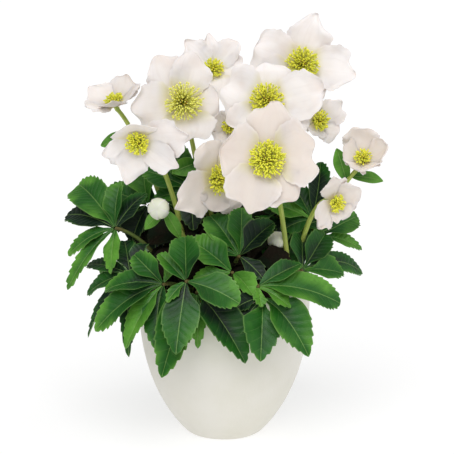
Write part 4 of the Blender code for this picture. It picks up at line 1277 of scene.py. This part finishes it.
class PotSettings(bpy.types.PropertyGroup):
    """Sizes and glaze of the pot."""

    rim_radius: metres("Rim radius", "Outer radius at the rim", (POT_BOX[1].x - POT_BOX[0].x) / 2)
    foot_radius: metres("Foot radius", "Radius of the flat foot", 0.032)
    rounding: metres("Rounding", "Radius of the rim's edges", 0.0018)
    glaze: tint("Glaze", "the glaze", "E4E1D8")
    glaze_warm: tint("Warm glaze", "the glaze where it is thicker", "DFDCD0")
    speck: tint("Specks", "the finest specks", "B9B0A4")


class SoilSettings(bpy.types.PropertyGroup):
    """Lumps and colours of the soil."""

    lump: metres("Lumps", "Height of the lumps", 0.0012)
    chips: IntProperty(name="Chips", description="Bits of bark on the soil", default=170, min=1)
    dark: tint("Dark", "the peat", "2A1D15")
    light: tint("Light", "the fibres", "553D2A")
    bark: tint("Bark", "the bits of bark", "7A5638")


class LeafSettings(bpy.types.PropertyGroup):
    """Relief, margins and colours of the leaves."""

    petiole_radius: metres("Petiole radius", "Radius of a petiole at the soil", 0.002)
    thickness: metres("Thickness", "Thickness at the midrib", 0.00065)
    tooth: metres("Teeth", "Depth of the teeth", 0.0015)
    tooth_spacing: metres("Tooth spacing", "From one tooth to the next", 0.0056)
    groove: metres("Groove", "Depth of the midrib's groove", 0.0006)
    quilt: metres("Quilting", "Height of the bulges between side veins", 0.00022)
    wave: metres("Waves", "Height of the waves along the margins", 0.0013)
    fullness: ratio("Fullness", "Width of the leaflets, as a share of their solids'", 1.16)
    keel: ratio("Keel", "Most that a leaflet folds along its midrib, as a slope", 0.5)
    curl: ratio("Curl", "Most that a leaflet's tip bends down or aside, as a share of its length", 0.1)
    vein_slant: ratio("Slant", "How far side veins run forwards for each step outwards", 0.95)
    twist: degrees("Twist", "Greatest turn of a tip", 26)
    fresh: tint("Fresh", "young leaflets", "609A34")
    green: tint("Green", "most leaflets", "225A19")
    deep: tint("Deep", "old and shaded leaflets", "0D2415")
    # painted shade: the near-black green of the leaves deep inside stands for the shade there
    shaded: tint("Shaded", "the leaves inside the plant", "0E1A0A")
    # the brown of withered leaves, darkened as painted shade
    withered_and_shade: tint("Withered", "the brown clouds on the leaves inside the plant", "1C150A")
    # on the margins this colour is a painted highlight along the teeth; on the veins it is their own
    vein: tint("Veins", "veins and margins", "86AA5C")
    under: tint("Underside", "the underside", "7C9C66")
    under_dark: tint("Dark underside", "the darker clouds on the underside", "5C8050")


class FlowerSettings(bpy.types.PropertyGroup):
    """Relief and colours of the flowers."""

    thickness: metres("Thickness", "Thickness of a sepal at its middle", 0.0006)
    wave: metres("Waves", "Height of a large sepal's waves", 0.0022)
    fullness: ratio("Fullness", "Width of the sepals, as a share of their solids'", 1.08)
    ripple: ratio("Ripples", "Depth of the margins' ripples, as a share of the half width", 0.022)
    lobes: ratio("Lobes", "Depth of the shallow lobes at the tips, as a share of the length", 0.042)
    recurve: ratio("Recurve", "How far tips bend back, as a share of the half width", 0.06)
    boss: ratio("Boss", "Spread of the stamens, as a share of their solids'", 1.1)
    dome: ratio("Dome", "Height of the stamens, as a share of their spread", 0.72)
    anther_size: metres("Anthers", "Size of the anthers", 0.0013)
    white: tint("White", "the sepals", "F3EBE8")
    bud: tint("Bud", "the buds", "E6E8CC")
    aged: tint("Aged", "the sepals of the oldest flowers", "E0D3CA")
    blush: tint("Blush", "the warm shade in the sepals", "DCCCC4")
    vein: tint("Veins", "the sepals' veins", "C9B9AE")
    flush: tint("Flush", "the colour at the foot of the sepals", "E4D694")
    filament: tint("Filaments", "the filaments", "EDEC86")
    anther: tint("Anthers", "fresh anthers", "F4EE4A")
    anther_old: tint("Old anthers", "open anthers", "CBD03A")
    nectary: tint("Nectaries", "the nectaries", "9FBE2E")
    pistil: tint("Pistils", "the pistils' tips", "B88232")


class StemSettings(bpy.types.PropertyGroup):
    """Size and colours of the stems."""

    radius: metres("Radius", "Radius of a flower stem at the soil", 0.0024)
    green: tint("Green", "the stems", "9CB64A")
    pale: tint("Pale", "the paler streaks along the stems", "BFCB68")
    petiole: tint("Petioles", "the petioles", "6A8038")
    petiole_dark: tint("Dark petioles", "the darker streaks along the petioles", "44602A")
    flush: tint("Flush", "the red flush of old stems", "743E2C")


class StageSettings(bpy.types.PropertyGroup):
    """Camera, floor and light."""

    lens: FloatProperty(
        name="Lens", description="Focal length, in millimetres of a 36 mm sensor", default=128.8
    )
    distance: metres("Distance", "From the camera to the point it looks at", 1.4)
    elevation: degrees("Elevation", "How far the camera looks down", 12)
    aim_x: FloatProperty(
        name="Aim, sideways", description="Place on X that it looks at", default=0.0026, unit="LENGTH"
    )
    aim_z: metres("Aim, up", "Height that it looks at", 0.1814)
    floor: tint("Floor", "the floor", "B4B4B4")
    floor_grain: tint("Floor grain", "the floor's grain", "B0B0B0")
    floor_glow: ratio("Floor glow", "Light that the floor gives, as a light table does", 0.62)
    sky: ratio("Sky", "Strength of the even light from all sides", 0.3)
    key: ratio("Key", "Strength of the main light", 1.93)
    fill: ratio("Fill", "Strength of the light from the right", 0.75)


def make_each(plants, add, scene, seed, looks, slot, part, ending):
    """One piece for each plant of a table. add fills its heap, with draws that start from the seed and
    the plant's number. The CAD node is named for the plant and part, and the piece has an ending too."""
    for number, (name, plant) in enumerate(plants.items()):
        heap = Heap()
        add(heap, plant, scene, np.random.default_rng(seed + number))
        piece(name + part + ending, heap, looks, slot, name + part)


class MakePot(bpy.types.Operator):
    """Turn the pot on its profile: flat foot, rounded heel, belly, rounded rim and hollow inside"""

    bl_idname = "christmas_rose.pot"
    bl_label = "Pot"

    def execute(self, context):
        settings = context.scene.rose_pot
        rounding = settings.rounding
        shoulder = POT_BOX[1].z - rounding
        climb = np.linspace(0, 1, POT_ROWS) ** 1.4
        outer = HEEL_HEIGHT + (shoulder - HEEL_HEIGHT) * climb
        inner = POT_FLOOR + (shoulder - POT_FLOOR) * climb[::-1]
        turn = np.linspace(0, math.pi / 2, RIM_STEPS)[1:]
        rim_out = pot_radius(shoulder, settings) - rounding
        rim_in = pot_radius(shoulder, settings) - POT_WALL + rounding
        foot = settings.foot_radius
        radii = np.concatenate([
            [0, foot * 0.6, foot - 0.5 * MM, foot + 0.3 * MM], pot_radius(outer, settings),
            rim_out + rounding * np.cos(turn), rim_in - rounding * np.cos(turn[::-1]),
            pot_radius(inner, settings) - POT_WALL, [0],
        ])
        heights = np.concatenate([
            [0, 0, 0, 0.4 * MM], outer, shoulder + rounding * np.sin(turn),
            shoulder + rounding * np.sin(turn[::-1]), inner, [POT_FLOOR],
        ])
        heap = Heap()
        heap.add(*lathe(radii, heights, POT_SIDES), 0)
        piece("pot_glazed", heap, [look(matt_white_ceramic, settings)], "ceramic", "pot")
        return {"FINISHED"}


class MakeSoil(bpy.types.Operator):
    """Fill the pot with lumpy peat, and strew bits of bark on it"""

    bl_idname = "christmas_rose.soil"
    bl_label = "Soil"

    def execute(self, context):
        settings = context.scene.rose_soil
        draw = np.random.default_rng(SOIL_SEED)
        edge = SOIL_TOP - SOIL_DOME
        sides = np.linspace(POT_FLOOR + 0.3 * MM, edge, WALL_ROWS)
        wall = pot_radius(sides, context.scene.rose_pot) - POT_WALL - SOIL_GAP
        inwards = np.linspace(1, 0, SOIL_ROWS)[1:]
        radii = np.concatenate([[0], wall, wall[-1] * inwards])
        heights = np.concatenate([[sides[0]], sides, SOIL_TOP - SOIL_DOME * inwards ** 2])
        points, faces = lathe(radii, heights, SOIL_SIDES)
        x, y, z = points.T
        upper = smooth(edge - 1 * MM, edge + 0.5 * MM, z)
        lumps = rumple(x, y, draw, *LUMP_SIZES) + CRUMB_SHARE * rumple(x, y, draw, *CRUMB_SIZES)
        points[:, 2] += upper * settings.lump * lumps
        heap = Heap()
        heap.add(points, faces, 0)

        count = settings.chips
        turn = draw.uniform(0, 2 * math.pi, count)
        away = wall[-1] * 0.95 * np.sqrt(draw.uniform(0, 1, count))
        lie = draw.uniform(0, 2 * math.pi, count)
        lift = SOIL_TOP - SOIL_DOME * (away / wall[-1]) ** 2 + settings.lump * 0.6
        middle = np.stack([away * np.cos(turn), away * np.sin(turn), lift], -1)
        way = np.stack([np.cos(lie), np.sin(lie), draw.uniform(-0.3, 0.3, count)], -1)
        reach = draw.uniform(*CHIP_LENGTHS, count)[:, None, None] * MM
        paths = middle[:, None] + way[:, None] * np.array(CHIP_STEPS)[:, None] * reach
        bulk = draw.uniform(*CHIP_RADII, count)[:, None] * np.array(CHIP_PROFILE) * MM
        heap.add(*tubes(paths, bulk, CHIP_SIDES), 1)
        looks = [look(moist_peat, settings), look(flaky_bark, settings)]
        piece("soil_crumbly", heap, looks, "soil", "soil")
        return {"FINISHED"}


class MakeLeaves(bpy.types.Operator):
    """Grow the leaves: toothed leaflets that spread from the end of a petiole"""

    bl_idname = "christmas_rose.leaves"
    bl_label = "Leaves"

    def execute(self, context):
        scene = context.scene
        settings = scene.rose_leaf
        petiole = look(flushed_petiole, scene.rose_stem)
        looks = [look(evergreen_leaf_face, settings), look(evergreen_leaf_underside, settings), petiole]
        make_each(LEAVES, add_leaf, scene, LEAF_SEED, looks, "leaf", "", "_toothed")
        # the small leaves deep inside get a near-black finish that is painted shade
        shaded = look(painted_shade_leaf, settings)
        draw = np.random.default_rng(SMALL_LEAF_SEED)
        for name, places, faces in (
            ("foliage_painted_shade", PAINTED_SHADE_HUBS, [shaded, shaded, petiole]),
            ("foliage_green", GREEN_HUBS, looks),
        ):
            heap = Heap()
            for place in places:
                add_small_leaf(heap, place, scene, draw)
            piece(name, heap, faces, "leaf")
        return {"FINISHED"}


class MakeSepals(bpy.types.Operator):
    """Open the flowers: five broad sepals that lap over each other"""

    bl_idname = "christmas_rose.sepals"
    bl_label = "Sepals"

    def execute(self, context):
        settings = context.scene.rose_flower
        looks = [look(silky_sepal_face, settings), look(silky_sepal_back, settings)]
        make_each(BLOOMS, add_sepals, context.scene, SEPAL_SEED, looks, "sepal", "_sepals", "_wavy")
        return {"FINISHED"}


class MakeStamens(bpy.types.Operator):
    """Fill the flowers with stamens, nectaries and pistils"""

    bl_idname = "christmas_rose.stamens"
    bl_label = "Stamens"

    def execute(self, context):
        settings = context.scene.rose_flower
        looks = [look(pollen_stamen, settings), look(wet_nectary, settings), look(waxy_pistil, settings)]
        make_each(BLOOMS, add_boss, context.scene, STAMEN_SEED, looks, "stamen", "_stamens", "_fine")
        return {"FINISHED"}


class MakeStems(bpy.types.Operator):
    """Grow the stems of flowers and buds, with their bracts"""

    bl_idname = "christmas_rose.stems"
    bl_label = "Stems"

    def execute(self, context):
        scene = context.scene
        leaf = scene.rose_leaf
        looks = [
            look(juicy_stem, scene.rose_stem), look(evergreen_leaf_face, leaf),
            look(evergreen_leaf_underside, leaf),
        ]
        make_each({**BLOOMS, **BUDS}, add_stem, scene, STEM_SEED, looks, "stem", "_stem", "_fine")
        return {"FINISHED"}


class MakeBuds(bpy.types.Operator):
    """Close the buds: five sepals wrapped round each other into an egg"""

    bl_idname = "christmas_rose.buds"
    bl_label = "Buds"

    def execute(self, context):
        scene = context.scene
        looks = [look(greenish_bud, scene.rose_flower)]
        make_each(BUDS, add_wrapped_sepals, scene, BUD_SEED, looks, "sepal", "_sepals", "_wrapped")
        return {"FINISHED"}


class SetStage(bpy.types.Operator):
    """Set the floor, the soft lights and the camera"""

    bl_idname = "christmas_rose.stage"
    bl_label = "Stage"

    def execute(self, context):
        settings = context.scene.rose_stage
        mesh = bpy.data.meshes.new("floor")
        signs = ((-1, -1), (1, -1), (1, 1), (-1, 1))
        corners = [(x * FLOOR_REACH, y * FLOOR_REACH, 0) for x, y in signs]
        mesh.from_pydata(corners, [], [(0, 1, 2, 3)])
        mesh.materials.append(look(opal_light_table, settings))
        floor = bpy.data.objects.new("floor", mesh)
        context.scene.collection.objects.link(floor)

        world = bpy.data.worlds.new("even_white")
        world.use_nodes = True
        sky = world.node_tree.nodes["Background"]
        sky.inputs["Color"].default_value = (1, 1, 1, 1)
        sky.inputs["Strength"].default_value = settings.sky
        context.scene.world = world

        aim = Vector((settings.aim_x, 0, settings.aim_z))
        for name, place, width, strength in (
            ("key_light", (-0.3, -1.5, 2.1), 50, settings.key),
            ("fill_light", (1.6, -0.6, 1.6), 80, settings.fill),
        ):
            data = bpy.data.lights.new(name, "SUN")
            data.angle = math.radians(width)
            data.energy = strength
            aimed(bpy.data.objects.new(name, data), Vector(place), aim)

        data = bpy.data.cameras.new("camera")
        data.lens = settings.lens
        data.sensor_width = SENSOR_WIDTH
        data.clip_end = CLIP_END
        away = Vector((0, -math.cos(settings.elevation), math.sin(settings.elevation)))
        camera = aimed(bpy.data.objects.new("camera", data), aim + away * settings.distance, aim)
        context.scene.camera = camera
        context.scene.view_settings.view_transform = "Standard"
        return {"FINISHED"}


def aimed(obj, place, aim):
    """The object, put at a place and turned so that it looks at the aim."""
    bpy.context.scene.collection.objects.link(obj)
    obj.location = place
    obj.rotation_euler = (aim - place).to_track_quat("-Z", "Y").to_euler()
    return obj


SETTINGS = {
    "rose_pot": PotSettings,
    "rose_soil": SoilSettings,
    "rose_leaf": LeafSettings,
    "rose_flower": FlowerSettings,
    "rose_stem": StemSettings,
    "rose_stage": StageSettings,
}
OPERATORS = (MakePot, MakeSoil, MakeLeaves, MakeSepals, MakeStamens, MakeStems, MakeBuds, SetStage)


class ChristmasRosePanel(bpy.types.Panel):
    """Everything that the scene is made from, in the order it is made"""

    bl_idname = "VIEW3D_PT_christmas_rose"
    bl_label = "Christmas rose"
    bl_space_type = "VIEW_3D"
    bl_region_type = "UI"
    bl_category = "Christmas rose"

    def draw(self, context):
        for operator in OPERATORS:
            self.layout.operator(operator.bl_idname)
        for key, group in SETTINGS.items():
            box = self.layout.box()
            box.label(text=group.__doc__)
            for name in group.__annotations__:
                box.prop(getattr(context.scene, key), name)


def register():
    """Registers the classes, and puts each group of settings on the scene."""
    for group in (*SETTINGS.values(), *OPERATORS, ChristmasRosePanel):
        bpy.utils.register_class(group)
    for key, group in SETTINGS.items():
        setattr(bpy.types.Scene, key, PointerProperty(type=group))


def unregister():
    """Takes all of that away again."""
    for key in SETTINGS:
        delattr(bpy.types.Scene, key)
    for group in (ChristmasRosePanel, *reversed(OPERATORS), *reversed(SETTINGS.values())):
        bpy.utils.unregister_class(group)


def main():
    register()
    rose = bpy.ops.christmas_rose
    for make in (
        rose.pot, rose.soil, rose.leaves, rose.sepals, rose.stamens, rose.stems, rose.buds, rose.stage
    ):
        make()


if __name__ == "__main__":
    main()
